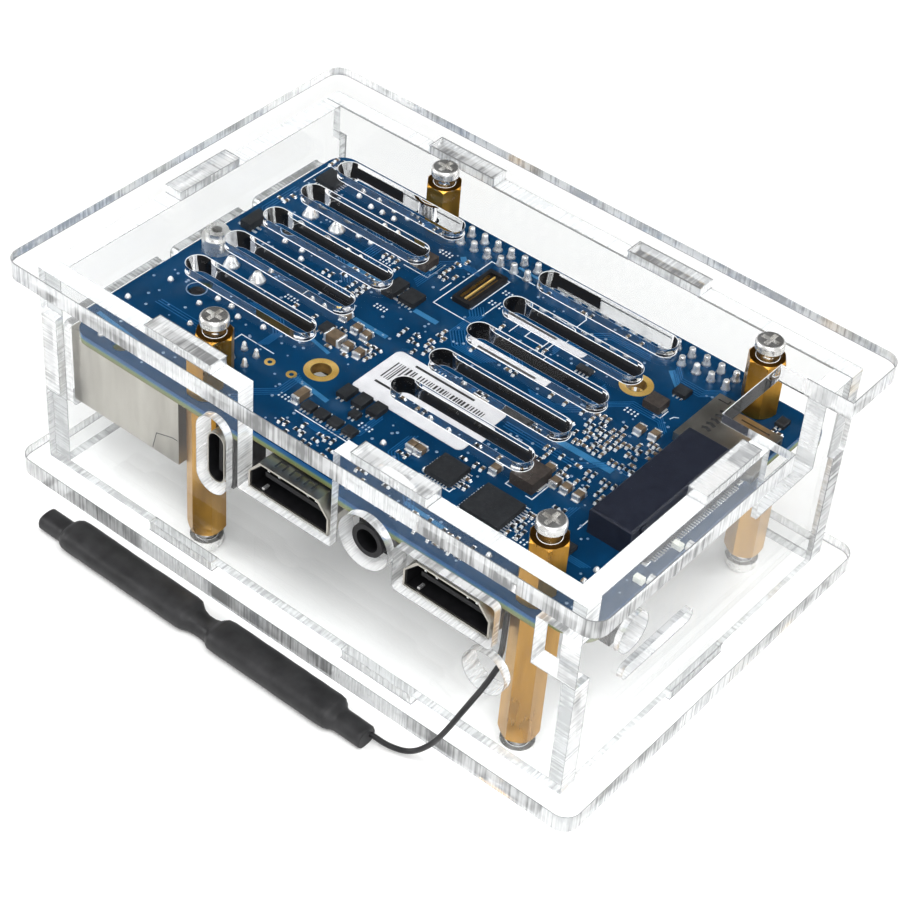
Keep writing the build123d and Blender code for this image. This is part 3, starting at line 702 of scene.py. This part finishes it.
POURS = (
    (((-10.6, 5.5), (-6.3, 5.5)), 0.9), (((-15.6, -2.0), (-9.4, -2.0)), 0.8),
    (((-12.9, -17.5), (-6.2, -18.2)), 0.8), (((21.8, -2.5), (31.0, -2.4)), 1.1),
    (((-17.2, -9.6), (-12.9, -10.4)), 0.6), (((24.4, 20.6), (27.4, 18.0)), 1.0),
    (((-42.6, -24.6), (-34.0, -25.4)), 0.7), (((14.6, -24.6), (22.0, -24.9)), 0.7),
    (((-13.6, 20.2), (-12.2, 18.9)), 0.9), (((32.6, -25.6), (40.0, -26.0)), 0.8),
    (((-26.0, 8.6), (-19.4, 8.6)), 0.9), (((-6.0, 24.0), (8.0, 23.6)), 0.5),
)


def build_tracks(form):
    """Bundles of parallel tracks under the mask."""
    for points, count, pitch in TRACKS:
        first, last = Vector(points[0]), Vector(points[-1])
        across = Vector((first.y - last.y, last.x - first.x)).normalized() * pitch
        for i in range(count):
            shift = across * (i - (count - 1) / 2)
            ribbon(form, [(x + shift.x, y + shift.y) for x, y in points], TRACK_WIDTH, FACE)


def build_pours(form):
    """Broad copper runs, a little lower than the tracks."""
    for points, width in POURS:
        ribbon(form, points, width, (FACE[0], FACE[1] - 0.01))


def build_vias(form):
    """Small covered holes, scattered where the board is free."""
    for _ in range(VIA_TRIES):
        x, y = (RNG.uniform(*span) for span in VIA_FIELD)
        if is_free(*area(x, y, 0.5, 0.5)):
            radius = RNG.choice((0.16, 0.2, 0.24))
            lathe(form, x, y, [(radius, FACE[0]), (radius, FACE[1]), (radius * 0.5, FACE[1] + 0.01)], 10)


OUTLINES = (
    ((-2.7, 8.8), (-9.8, 8.8), (-9.8, 22.3), (-1.6, 22.3)),
    ((8.7, 9.4), (8.7, 21.2), (7.8, 22.1), (4.0, 22.3)),
    ((-8.6, 20.3), (-8.6, 11.4), (-4.8, 11.4), (-4.8, 20.3), (-8.6, 20.3)), ((-2.7, 15.6), (-2.7, 11.3)),
    ((2.3, 13.8), (2.3, 11.2)), ((4.6, 13.4), (4.6, 12.0), (7.9, 12.0), (7.9, 13.4)),
    ((22.0, -13.2), (22.0, -14.2), (23.0, -14.2)), ((25.4, -14.2), (26.5, -14.2), (26.5, -10.6)),
    ((28.0, 11.0), (29.2, 11.0), (29.2, 13.0)), ((30.3, 11.8), (30.5, 12.5), (31.1, 12.9)),
    ((-10.9, 11.6), (-10.9, 14.2)), ((-18.7, 12.6), (-14.2, 12.6), (-14.2, 17.0)),
    ((12.4, -20.6), (17.6, -20.6), (17.6, -19.8)), ((20.2, -15.9), (27.5, -15.9)),
    ((-43.2, 17.6), (-43.2, 23.6), (-37.2, 23.6)), ((34.4, -14.6), (34.4, 9.0)),
    ((-24.6, -22.2), (-24.6, -15.8), (-18.4, -15.8)), ((9.0, -22.4), (16.0, -22.4)),
    ((-8.2, -22.6), (2.4, -22.6)),
)
DOT_ROWS = ((-16.8, 18.7), (-15.4, 2.2), (-26.0, -5.2), (-21.9, 11.0), (0.2, -18.9), (29.2, -21.6),
            (28.8, -17.8), (-11.9, -21.8), (13.6, 15.8), (24.6, 9.0), (-3.9, 17.6), (-3.9, 14.4))


def build_silkscreen(form):
    """Printed outlines, and double rows of test pads."""
    for points in OUTLINES:
        ribbon(form, points, PRINT_WIDTH, FACE)
    for x, y in DOT_ROWS:
        for i in range(8):
            slab(form, *area(x + 0.62 * (i % 4), y + 0.6 * (i // 4), 0.26, 0.34), FACE, 0.01)


# Limits along X and Y, pitch along both, and the share of the places that are filled
CLUSTERS = (
    ((21.2, 34.2), (-9.4, -3.2), 0.88, 1.32, 0.7), ((20.4, 34.2), (-1.6, 7.6), 0.88, 1.32, 0.7),
    ((-18.2, -6.8), (-9.9, -3.6), 0.95, 1.35, 0.75), ((14.2, 20.9), (-14.9, -12.4), 1.1, 1.4, 0.7),
    ((-13.4, -10.2), (13.6, 21.4), 0.85, 1.3, 0.75), ((-4.6, -2.0), (-1.6, 5.6), 0.95, 1.4, 0.7),
    ((27.6, 30.8), (-21.8, -15.0), 0.8, 1.1, 0.8), ((17.4, 20.0), (-19.4, -15.4), 0.95, 1.4, 0.7),
    ((-20.0, -17.2), (1.2, 6.0), 1.1, 1.4, 0.7), ((-26.4, -22.6), (2.4, 5.4), 1.2, 1.5, 0.6),
    ((-24.8, -17.6), (0.4, 13.6), 1.1, 1.4, 0.4), ((-24.0, -17.0), (-6.4, -3.8), 1.2, 1.4, 0.65),
    ((-0.6, 12.6), (10.6, 13.4), 1.1, 1.5, 0.5), ((38.6, 43.8), (20.6, 26.2), 1.1, 1.4, 0.55),
    ((33.4, 37.6), (-22.4, -16.0), 1.1, 1.4, 0.5), ((-43.4, -38.6), (11.2, 18.0), 1.1, 1.5, 0.5),
    ((-43.8, -36.4), (23.4, 26.4), 1.2, 1.3, 0.5), ((-8.6, 12.0), (-27.6, -22.8), 1.0, 1.4, 0.45),
    ((14.0, 28.8), (-27.4, -23.4), 1.2, 1.4, 0.5), ((7.4, 11.6), (-20.0, -15.0), 1.1, 1.4, 0.6),
    ((29.4, 33.2), (-14.0, -10.8), 1.1, 1.4, 0.55), ((0.4, 19.4), (3.6, 5.6), 1.3, 1.5, 0.4),
    ((-9.0, -2.4), (-2.4, 2.6), 1.0, 1.4, 0.55),
)
EXTRA_CHIPS = (
    *((x, -21.0, 1.9, 1.6) for x in (-7.0, -4.6, -2.2, 0.4)), (-1.4, -17.9, 1.5, 1.3),
    (15.6, 11.7, 2.4, 1.1), (41.6, 23.4, 1.5, 1.9), (-16.7, -6.6, 1.7, 1.9), (35.8, -18.6, 1.6, 2.2),
)
SMALL_PART = (1.05, 0.5)
ALONG_X_SHARE = 0.25
TAN_SHARE = 0.45

small_parts = []


def place_small_parts():
    """Chooses where the resistors and small capacitors sit."""
    for x, y, length, width in EXTRA_CHIPS:
        take(*area(x, y, length + 0.5, width + 0.8))
    for x_span, y_span, x_pitch, y_pitch, share in CLUSTERS:
        for i in range(int((x_span[1] - x_span[0]) / x_pitch)):
            for j in range(int((y_span[1] - y_span[0]) / y_pitch)):
                x = x_span[0] + x_pitch * (i + 0.5) + RNG.uniform(-0.1, 0.1)
                y = y_span[0] + y_pitch * (j + 0.5) + RNG.uniform(-0.15, 0.15)
                along_x = RNG.random() < ALONG_X_SHARE
                size = SMALL_PART if along_x else SMALL_PART[::-1]
                present, tan = RNG.random() < share, RNG.random() < TAN_SHARE
                if present and is_free(*area(x, y, *size)):
                    take(*area(x, y, *size), 0.02)
                    small_parts.append((x, y, along_x, tan))


def part_limits(x, y, along_x, along, across, shift=0.0):
    """Limits of a block on a small part, given along and across it."""
    if along_x:
        return area(x + shift, y, along, across)
    return area(x, y + shift, across, along)


def build_part_bodies(tan_wanted):
    """Bodies of the small parts of one of the two colours."""
    def build(form):
        for x, y, along_x, tan in small_parts:
            if tan == tan_wanted:
                limits = part_limits(x, y, along_x, 0.56, 0.42)
                slab(form, *limits, (FACE[0], BOARD_TOP + 0.34), 0.04)
    return build


def build_part_ends(form):
    """Tinned ends and solder of the small parts and of the larger capacitors."""
    for x, y, along_x, _ in small_parts:
        for side in (-1, 1):
            cap = part_limits(x, y, along_x, 0.24, 0.46, side * 0.36)
            slab(form, *cap, (FACE[0], BOARD_TOP + 0.36), 0.08)
            foot = part_limits(x, y, along_x, 0.2, 0.46, side * 0.54)
            slab(form, *foot, (FACE[0], BOARD_TOP + 0.1), 0.05)
    for low, high in islands("ceramic_capacitors"):
        size = [high[axis] - low[axis] for axis in range(3)]
        x, y = (centre((low[axis], high[axis])) for axis in range(2))
        along_x = size[0] > size[1]
        along, across = max(size[:2]), min(size[:2])
        for side in (-1, 1):
            cap = part_limits(x, y, along_x, 0.36, across + 0.06, side * (along / 2 - 0.15))
            slab(form, *cap, (FACE[0], high[2] + 0.03), 0.06)
            foot = part_limits(x, y, along_x, 0.3, across, side * (along / 2 + 0.12))
            slab(form, *foot, (FACE[0], BOARD_TOP + 0.25), 0.15)


def build_extra_chips(form):
    """Small chips that the CAD model leaves out."""
    for x, y, length, width in EXTRA_CHIPS:
        slab(form, *area(x, y, length, width), (FACE[0], BOARD_TOP + 0.75), 0.1)


def leads_along(form, low, high, axis, pitch, width, reach, thickness):
    """A row of flat leads out of the two sides of a chip that face along an axis."""
    other = 1 - axis
    count = int((high[other] - low[other] - 0.4) / pitch) + 1
    middle = centre((low[other], high[other]))
    for i in range(count):
        across = around(middle + pitch * (i - (count - 1) / 2), width)
        for along in ((low[axis] - reach, low[axis] + 0.1), (high[axis] - 0.1, high[axis] + reach)):
            x, y = (along, across) if axis == 0 else (across, along)
            slab(form, x, y, (FACE[0], BOARD_TOP + thickness), 0.02)


def build_chip_leads(form):
    """Solder pins round the flat chips and the legs of the small transistors."""
    for low, high in islands("controller_chips"):
        size = [high[axis] - low[axis] for axis in range(2)]
        if min(size) > 3.0:
            for axis in (0, 1):
                leads_along(form, low, high, axis, 0.5, 0.22, 0.62, 0.06)
        elif max(size) > 3.0:
            leads_along(form, low, high, 0, 1.0, 0.36, 0.8, 0.16)
        else:
            leads_along(form, low, high, 1, 0.65, 0.26, 0.45, 0.1)
    for low, high in islands("switching_transistors"):
        leads_along(form, low, high, 1, 0.75, 0.32, 0.5, 0.14)
    for x, y, length, width in EXTRA_CHIPS:
        low, high = zip(*area(x, y, length, width))
        leads_along(form, low, high, 1, 0.65, 0.28, 0.45, 0.14)
    for low, high in islands("power_inductors"):
        leads_along(form, low, high, 0, 9.0, (high[1] - low[1]) * 0.5, 0.25, 0.12)


def build_solder(form):
    """Cones of solder over the header's pins and the sockets' legs."""
    top = BOARD_TOP
    for low, high in islands("header_pins"):
        x, y = (centre((low[axis], high[axis])) for axis in range(2))
        lean = RNG.uniform(0.9, 1.08)
        lathe(form, x, y, [(0.78 * lean, top - 0.05), (0.6, top + 0.25), (0.5, top + 0.8),
                           (0.47, top + 1.42), (0.42, top + 1.5), (0.2, top + 1.6 * lean)], 14)
    for places, profile, segments in JOINT_SHAPES:
        for x, y in places:
            lathe(form, x, y, [(radius, top + height) for radius, height in profile], segments)


def rings(*rows):
    """Builder of flat rings, from rows of places, pairs of radii and pairs of levels."""
    def build(form):
        for places, radii, levels in rows:
            for x, y in places:
                washer(form, x, y, radii, levels)
    return build


def build_peg(form):
    """Moulded peg of the network socket, in its hole in the board."""
    lathe(form, *PEG_HOLE, [(1.2, BOARD_UNDER), (1.2, BOARD_TOP - 0.5), (0.9, BOARD_TOP - 0.25),
                            (0.3, BOARD_TOP - 0.2)], 24)


def build_label_print(form):
    """Plain bars that stand for the label's printing."""
    x, y, z = millimetres("product_label")
    level = (z[1] - 0.02, z[1] + 0.015)
    strips = ((x[0] + 1.7, x[0] + 5.2, y[1] - 6.2, y[1] - 2.2),
              (x[0] + 5.9, x[1] - 2.4, y[1] - 3.4, y[1] - 2.3),
              (x[0] + 7.4, x[1] - 1.4, y[1] - 7.3, y[1] - 5.9))
    for start, end, low, high in strips:
        place = start
        while place < end:
            width = RNG.choice((0.14, 0.22, 0.34))
            slab(form, (place, place + width), (low, high), level, 0.005)
            place += width + RNG.choice((0.16, 0.24, 0.32))
    for start, end, line in ((4.0, 14.6, 1.2), (1.8, 5.6, 7.4), (7.4, 17.8, 8.2)):
        ribbon(form, [(x[0] + start, y[1] - line), (x[0] + end, y[1] - line)], 0.42, level)


# ---------------------------------------------------------------- socket details

def build_slot_contacts(form):
    """Comb of solder legs behind the drive connector, with its two end tabs."""
    x, y, _ = millimetres("drive_connector")
    for i in range(39):
        place = around(centre(y) + 0.5 * (i - 19), 0.24)
        slab(form, (x[1] - 0.1, x[1] + 1.0), place, (FACE[0], BOARD_TOP + 0.14), 0.03)
    for side in (y[0] + 0.6, y[1] - 0.6):
        slab(form, (x[1] - 1.5, x[1] + 0.7), around(side, 1.1), (FACE[0], BOARD_TOP + 0.25), 0.05)


def build_module_key(form):
    """Gold-edged rib along the middle of the module connector."""
    x, y, z = millimetres("module_connector")
    slab(form, around(centre(x), 0.2), (y[0] + 1.0, y[1] - 1.0), (BOARD_TOP + 0.38, z[1] - 0.1), 0.03)


def build_module_contacts(form):
    """Rows of contacts along both sides of the module connector."""
    x, y, z = millimetres("module_connector")
    count = int((y[1] - y[0] - 2.0) / 0.4)
    for i in range(count):
        place = around(y[0] + 1.2 + 0.4 * i, 0.18)
        for side in (x[0] + 0.75, x[1] - 0.75):
            slab(form, around(side, 0.4), place, (BOARD_TOP + 0.38, z[1] - 0.2), 0.02)


def build_card_slots(form):
    """Dark spring slots in the card socket's metal cover."""
    x, y, z = millimetres("card_socket")
    level = (z[1] - 0.03, z[1] + 0.015)
    for i in range(5):
        place = y[0] + 3.6 + 1.1 * i
        ribbon(form, [(x[0] + 2.2, place), (x[0] + 2.8, place + 0.3), (x[0] + 3.6, place)], 0.52, level)
    ribbon(form, [(x[0] + 0.6, y[1] - 1.2), (x[0] + 2.2, y[1] - 1.2), (x[0] + 2.2, y[1] - 0.4)], 0.22, level)
    ribbon(form, [(x[0] + 4.6, y[1] - 1.0), (x[1] - 1.6, y[1] - 1.0)], 0.26, level)


def outline_tube(form, outline, thickness, span):
    """A thin tube along Y round an outline of (x, z) points about its middle."""
    middle = Vector((sum(p[0] for p in outline), sum(p[1] for p in outline))) / len(outline)
    inner = []
    for point in outline:
        inward = (middle - Vector(point)).normalized() * thickness
        inner.append((point[0] + inward.x, point[1] + inward.y))
    loops = [[form.verts.new((x, y, z)) for x, z in ring]
             for ring, y in ((outline, span[0]), (outline, span[1]), (inner, span[1]), (inner, span[0]))]
    bridge(form, loops + loops[:1])


def build_socket_linings(form):
    """Black moulded linings inside the display and power sockets."""
    for x, y, z in both("display_socket_{}_shell"):
        low, high = z[0] + 0.32, z[0] + 5.08
        step = z[0] + 2.9
        outline = ((x[0] + 0.32, low), (x[1] - 0.32, low), (x[1] - 0.32, step), (x[1] - 2.3, high),
                   (x[0] + 2.3, high), (x[0] + 0.32, step))
        outline_tube(form, outline, 0.18, (y[0] + 0.25, y[0] + 7.4))
    x, y, z = millimetres("power_socket_shell")
    radius = (x[1] - x[0]) / 2 - 0.22
    outline = []
    for cos, sin in circle(24):
        level = z[1] - 0.22 - radius if sin >= 0 else z[0] + 0.22 + radius
        outline.append((centre(x) + radius * cos, level + radius * sin))
    outline_tube(form, outline, 0.12, (y[0] + 0.12, y[0] + 6.4))


def build_socket_springs(form):
    """Bright contact springs that show in the mouths of the display sockets."""
    for x, y, z in both("display_socket_{}_shell"):
        for offset in (-4.0, -2.1, 3.1, 4.6):
            rings = []
            for reach, drop in ((0.2, 0.45), (0.6, 1.1), (0.75, 1.9)):
                left, right = around(centre(x) + offset - reach * 0.3, 0.34)
                near, far, level = y[0] + reach, y[0] + reach + 0.16, z[1] - drop
                rings.append([(left, near, level), (right, near, level),
                              (right, far, level), (left, far, level)])
            skin(form, rings)
        slab(form, around(x[0] + 2.4, 0.45), (y[0] + 0.4, y[0] + 1.5), (z[0] + 0.45, z[0] + 0.8), 0.05)


def build_drive_ledge(form):
    """Lower ledge of the drive connector, above its solder legs."""
    x, y, z = millimetres("drive_connector")
    slab(form, (x[1] - 0.1, x[1] + 0.4), (y[0] + 0.5, y[1] - 0.5), (z[0] + 0.35, z[0] + 1.5), 0.2)
    for side in (y[0] + 2.6, y[1] - 2.6):
        slab(form, (x[1] - 0.1, x[1] + 0.3), around(side, 1.4), (z[0] + 1.4, z[1] - 0.5), 0.2)


def build_drive_recess(form):
    """Black sheet above the ledge of the drive connector, a painted shade that stands in for the gap there.
    """
    x, y, z = millimetres("drive_connector")
    slab(form, (x[1] - 0.05, x[1] + 0.02), (y[0] + 3.5, y[1] - 3.5), (z[0] + 1.7, z[0] + 2.7), 0.01)


def build_network_contacts(form):
    """Eight sloping contact wires in the network socket."""
    x, y, z = millimetres("network_socket_insert")
    roof = z[1] - 2.25
    for i in range(8):
        left, right = around(centre(y) + 1.02 * (i - 3.5), 0.4)
        bends = ((x[0] + 0.9, roof), (x[0] + 2.2, roof - 0.2), (x[0] + 9.0, roof - 2.8))
        skin(form, [[(depth, left, level - 0.15), (depth, right, level - 0.15),
                     (depth, right, level), (depth, left, level)] for depth, level in bends])


def build_usb_contacts(form):
    """Contact strips under the tongues of the double USB sockets."""
    for x, y, z in both("usb_stack_{}_tongues"):
        for level in (z[0] + 3.9, z[0] + 12.1):
            for i in range(4):
                place = around(centre(y) + 2.4 * (i - 1.5), 1.1)
                slab(form, (x[0] + 0.3, x[0] + 8.0), place, (level - 0.07, level + 0.03), 0.01)


UNDER_FIELDS = (((-6.6, 18.0), (-8.2, 9.2)), ((-20.0, -2.6), (10.0, 20.0)), ((10.0, 31.0), (10.0, 20.0)),
                ((-22.0, -6.0), (-21.0, -13.2)), ((19.0, 36.0), (-3.8, 0.8)), ((33.0, 42.0), (-18.0, 18.0)))
UNDER_NODES = ("processor", "memory_chips", "wireless_module", "power_manager", "header_base",
               "antenna_socket", "antenna_plug")
UNDER_FACE = (BOARD_UNDER - 0.34, BOARD_UNDER + 0.05)
UNDER_TRIES = 70

under_parts = []


def place_under_parts():
    """Chooses where the small parts sit on the underside of the board."""
    taken.clear()
    take_nodes(UNDER_NODES, 0.5)
    for x_span, y_span in UNDER_FIELDS:
        for _ in range(UNDER_TRIES):
            x, y = RNG.uniform(*x_span), RNG.uniform(*y_span)
            if is_free(*area(x, y, 0.6, 1.2)):
                take(*area(x, y, 0.6, 1.2))
                under_parts.append((x, y))


def build_under_bodies(form):
    """Bodies of the small parts under the board."""
    for x, y in under_parts:
        slab(form, *area(x, y, 0.42, 0.6), UNDER_FACE, 0.02)


def build_under_ends(form):
    """Tinned ends of the small parts under the board."""
    level = (UNDER_FACE[0] - 0.02, UNDER_FACE[1])
    for x, y in under_parts:
        for side in (-0.38, 0.38):
            slab(form, *area(x, y + side, 0.46, 0.24), level, 0.02)


def build_seams(form):
    """Seams and slots in the metal shells of the network, display and USB sockets."""
    x, y, z = millimetres("network_socket_shell")
    face = y[0]
    points = ((x[1] - 5.2, z[0] + 0.3), (x[1] - 4.4, z[0] + 3.4), (x[1] - 1.2, z[0] + 4.4),
              (x[1] - 0.2, z[0] + 4.4))
    for (x0, z0), (x1, z1) in zip(points, points[1:]):
        along = Vector((x1 - x0, z1 - z0)).normalized() * 0.07
        skin(form, [[(x0 - along.y, depth, z0 + along.x), (x0 + along.y, depth, z0 - along.x),
                     (x1 + along.y, depth, z1 - along.x), (x1 - along.y, depth, z1 + along.x)]
                    for depth in (face - 0.02, face + 0.03)])
    for x, y, z in both("display_socket_{}_shell"):
        for start in (-3.0, -0.4, 2.2):
            low, high = centre(x) + start, centre(x) + start + 1.3
            ribbon(form, [(low, y[0] + 0.6), (low, y[0] + 1.9), (high, y[0] + 1.9), (high, y[0] + 0.6)],
                   0.28, (z[1] - 0.03, z[1] + 0.02))
    for x, y, z in both("usb_stack_{}_shell"):
        for level in (z[0] + 2.2, z[0] + 10.4):
            for side in y:
                for low, high in ((level, level + 0.3), (level + 2.4, level + 2.7)):
                    slab(form, (x[0] + 3.0, x[0] + 9.0), around(side, 0.05), (low, high), 0.01)


# Name, builder, material and slot of each fine piece
BOARD_PIECES = (
    ("board_tracks", build_tracks, "trace", "circuit_laminate"),
    ("copper_pours", build_pours, "pour", "circuit_laminate"),
    ("board_vias", build_vias, "via", "circuit_laminate"),
    ("board_printing", build_silkscreen, "silk", "paper_label"),
    ("small_part_bodies_dark", build_part_bodies(False), "chip", "chip_resin"),
    ("small_part_bodies_tan", build_part_bodies(True), "ceramic", "ceramic"),
    ("small_part_ends", build_part_ends, "solder", "tinned_metal"),
    ("protection_chips", build_extra_chips, "chip", "chip_resin"),
    ("chip_leads", build_chip_leads, "solder", "tinned_metal"),
    ("solder_joints", build_solder, "solder", "tinned_metal"),
    ("plated_rings", rings((COOLER_HOLES, (1.52, 2.5), FACE), (SMALL_RINGS, (0.35, 0.8), FACE)),
     "gold", "gold_plate"),
    # Painted shade: the bores of the cooler holes are lined in darker gold for the shade inside them.
    ("hole_plating", rings((COOLER_HOLES, (1.42, 1.51), (BOARD_UNDER + 0.02, BOARD_TOP))),
     "bore", "gold_plate"),
    ("network_socket_peg", build_peg, "black", "black_plastic"),
    ("peg_hole_ring", rings(((PEG_HOLE,), (1.42, 1.6), FACE)), "via", "tinned_metal"),
    ("label_bars", build_label_print, "ink", "black_plastic"),
    ("drive_connector_legs", build_slot_contacts, "solder", "tinned_metal"),
    ("module_connector_rib", build_module_key, "gold", "gold_plate"),
    ("module_connector_contacts", build_module_contacts, "bore", "gold_plate"),
    ("card_socket_slots", build_card_slots, "ink", "black_plastic"),
    ("socket_linings", build_socket_linings, "black", "black_plastic"),
    ("display_socket_springs", build_socket_springs, "solder", "tinned_metal"),
    ("drive_connector_ledge", build_drive_ledge, "navy", "black_plastic"),
    # Painted shade for the gap above the drive connector's ledge
    ("drive_connector_gap_shade", build_drive_recess, "ink", "black_plastic"),
    ("network_contacts", build_network_contacts, "gold", "gold_plate"),
    ("usb_contacts", build_usb_contacts, "gold", "gold_plate"),
    ("shell_seams", build_seams, "ink", "black_plastic"),
)
UNDER_PIECES = (
    ("underside_part_bodies", build_under_bodies, "ceramic", "ceramic"),
    ("underside_part_ends", build_under_ends, "solder", "tinned_metal"),
)


def add_pieces(table):
    """Adds every piece of a table."""
    for name, build, material, slot in table:
        piece(name, build, MATERIALS[material])


def add_details():
    """Adds the fine pieces on the board and in the sockets, then those under the board."""
    reserve_board()
    place_small_parts()
    add_pieces(BOARD_PIECES)
    place_under_parts()
    add_pieces(UNDER_PIECES)


add_details()


# ---------------------------------------------------------------- studio

# Level surfaces mirror this direction towards the camera, so a dark flag there deepens their colour
DARK_FLAG = (-0.442, 0.602, 0.665)
FLAG_EDGE = (0.70, 0.84)
TENT_STRENGTH = 0.95
VIEW_GAMMA = 0.9
FLOOR_SIZE = 6.0
LAMPS = (
    ("overhead", (0.2, -0.3, 0.85), (0, 0.02, 0), 4.0),
    ("front_left", (-0.85, -0.5, 0.45), (0, 0, 0.02), 3.5),
    ("front_right", (0.75, -0.75, 0.5), (0, 0, 0.02), 3.0),
    ("back_right", (0.75, 0.7, 0.5), (0, 0, 0.02), 3.0),
)


def studio():
    """Plain pale floor in a pale tent that has one dark flag, with soft lamps above and around."""
    bpy.ops.mesh.primitive_plane_add(size=FLOOR_SIZE, location=(0, 0, 0))
    floor = bpy.context.object
    floor.name = "floor"
    floor.data.materials.append(
        surface("floor_paper", (0.95, 0.95, 0.945), (0.965, 0.965, 0.96), 30, (0.8, 0.9)))
    world = bpy.data.worlds.new("studio")
    world.use_nodes = True
    bpy.context.scene.world = world
    tree = world.node_tree
    background = tree.nodes["Background"]
    coordinate = tree.nodes.new("ShaderNodeTexCoord")
    toward = fill(tree.nodes.new("ShaderNodeVectorMath"), operation="DOT_PRODUCT")
    toward.inputs[1].default_value = DARK_FLAG
    ramp = tree.nodes.new("ShaderNodeValToRGB")
    stops = ramp.color_ramp.elements
    stops[0].position, stops[0].color = FLAG_EDGE[0], (0.8, 0.8, 0.8, 1)
    stops[1].position, stops[1].color = FLAG_EDGE[1], (0.02, 0.02, 0.021, 1)
    tree.links.new(coordinate.outputs["Generated"], toward.inputs[0])
    tree.links.new(toward.outputs["Value"], ramp.inputs[0])
    tree.links.new(ramp.outputs[0], background.inputs["Color"])
    background.inputs["Strength"].default_value = TENT_STRENGTH
    for lamp in LAMPS:
        area_light(*lamp)
    view = bpy.context.scene.view_settings
    view.view_transform = "Standard"
    view.gamma = VIEW_GAMMA


studio()
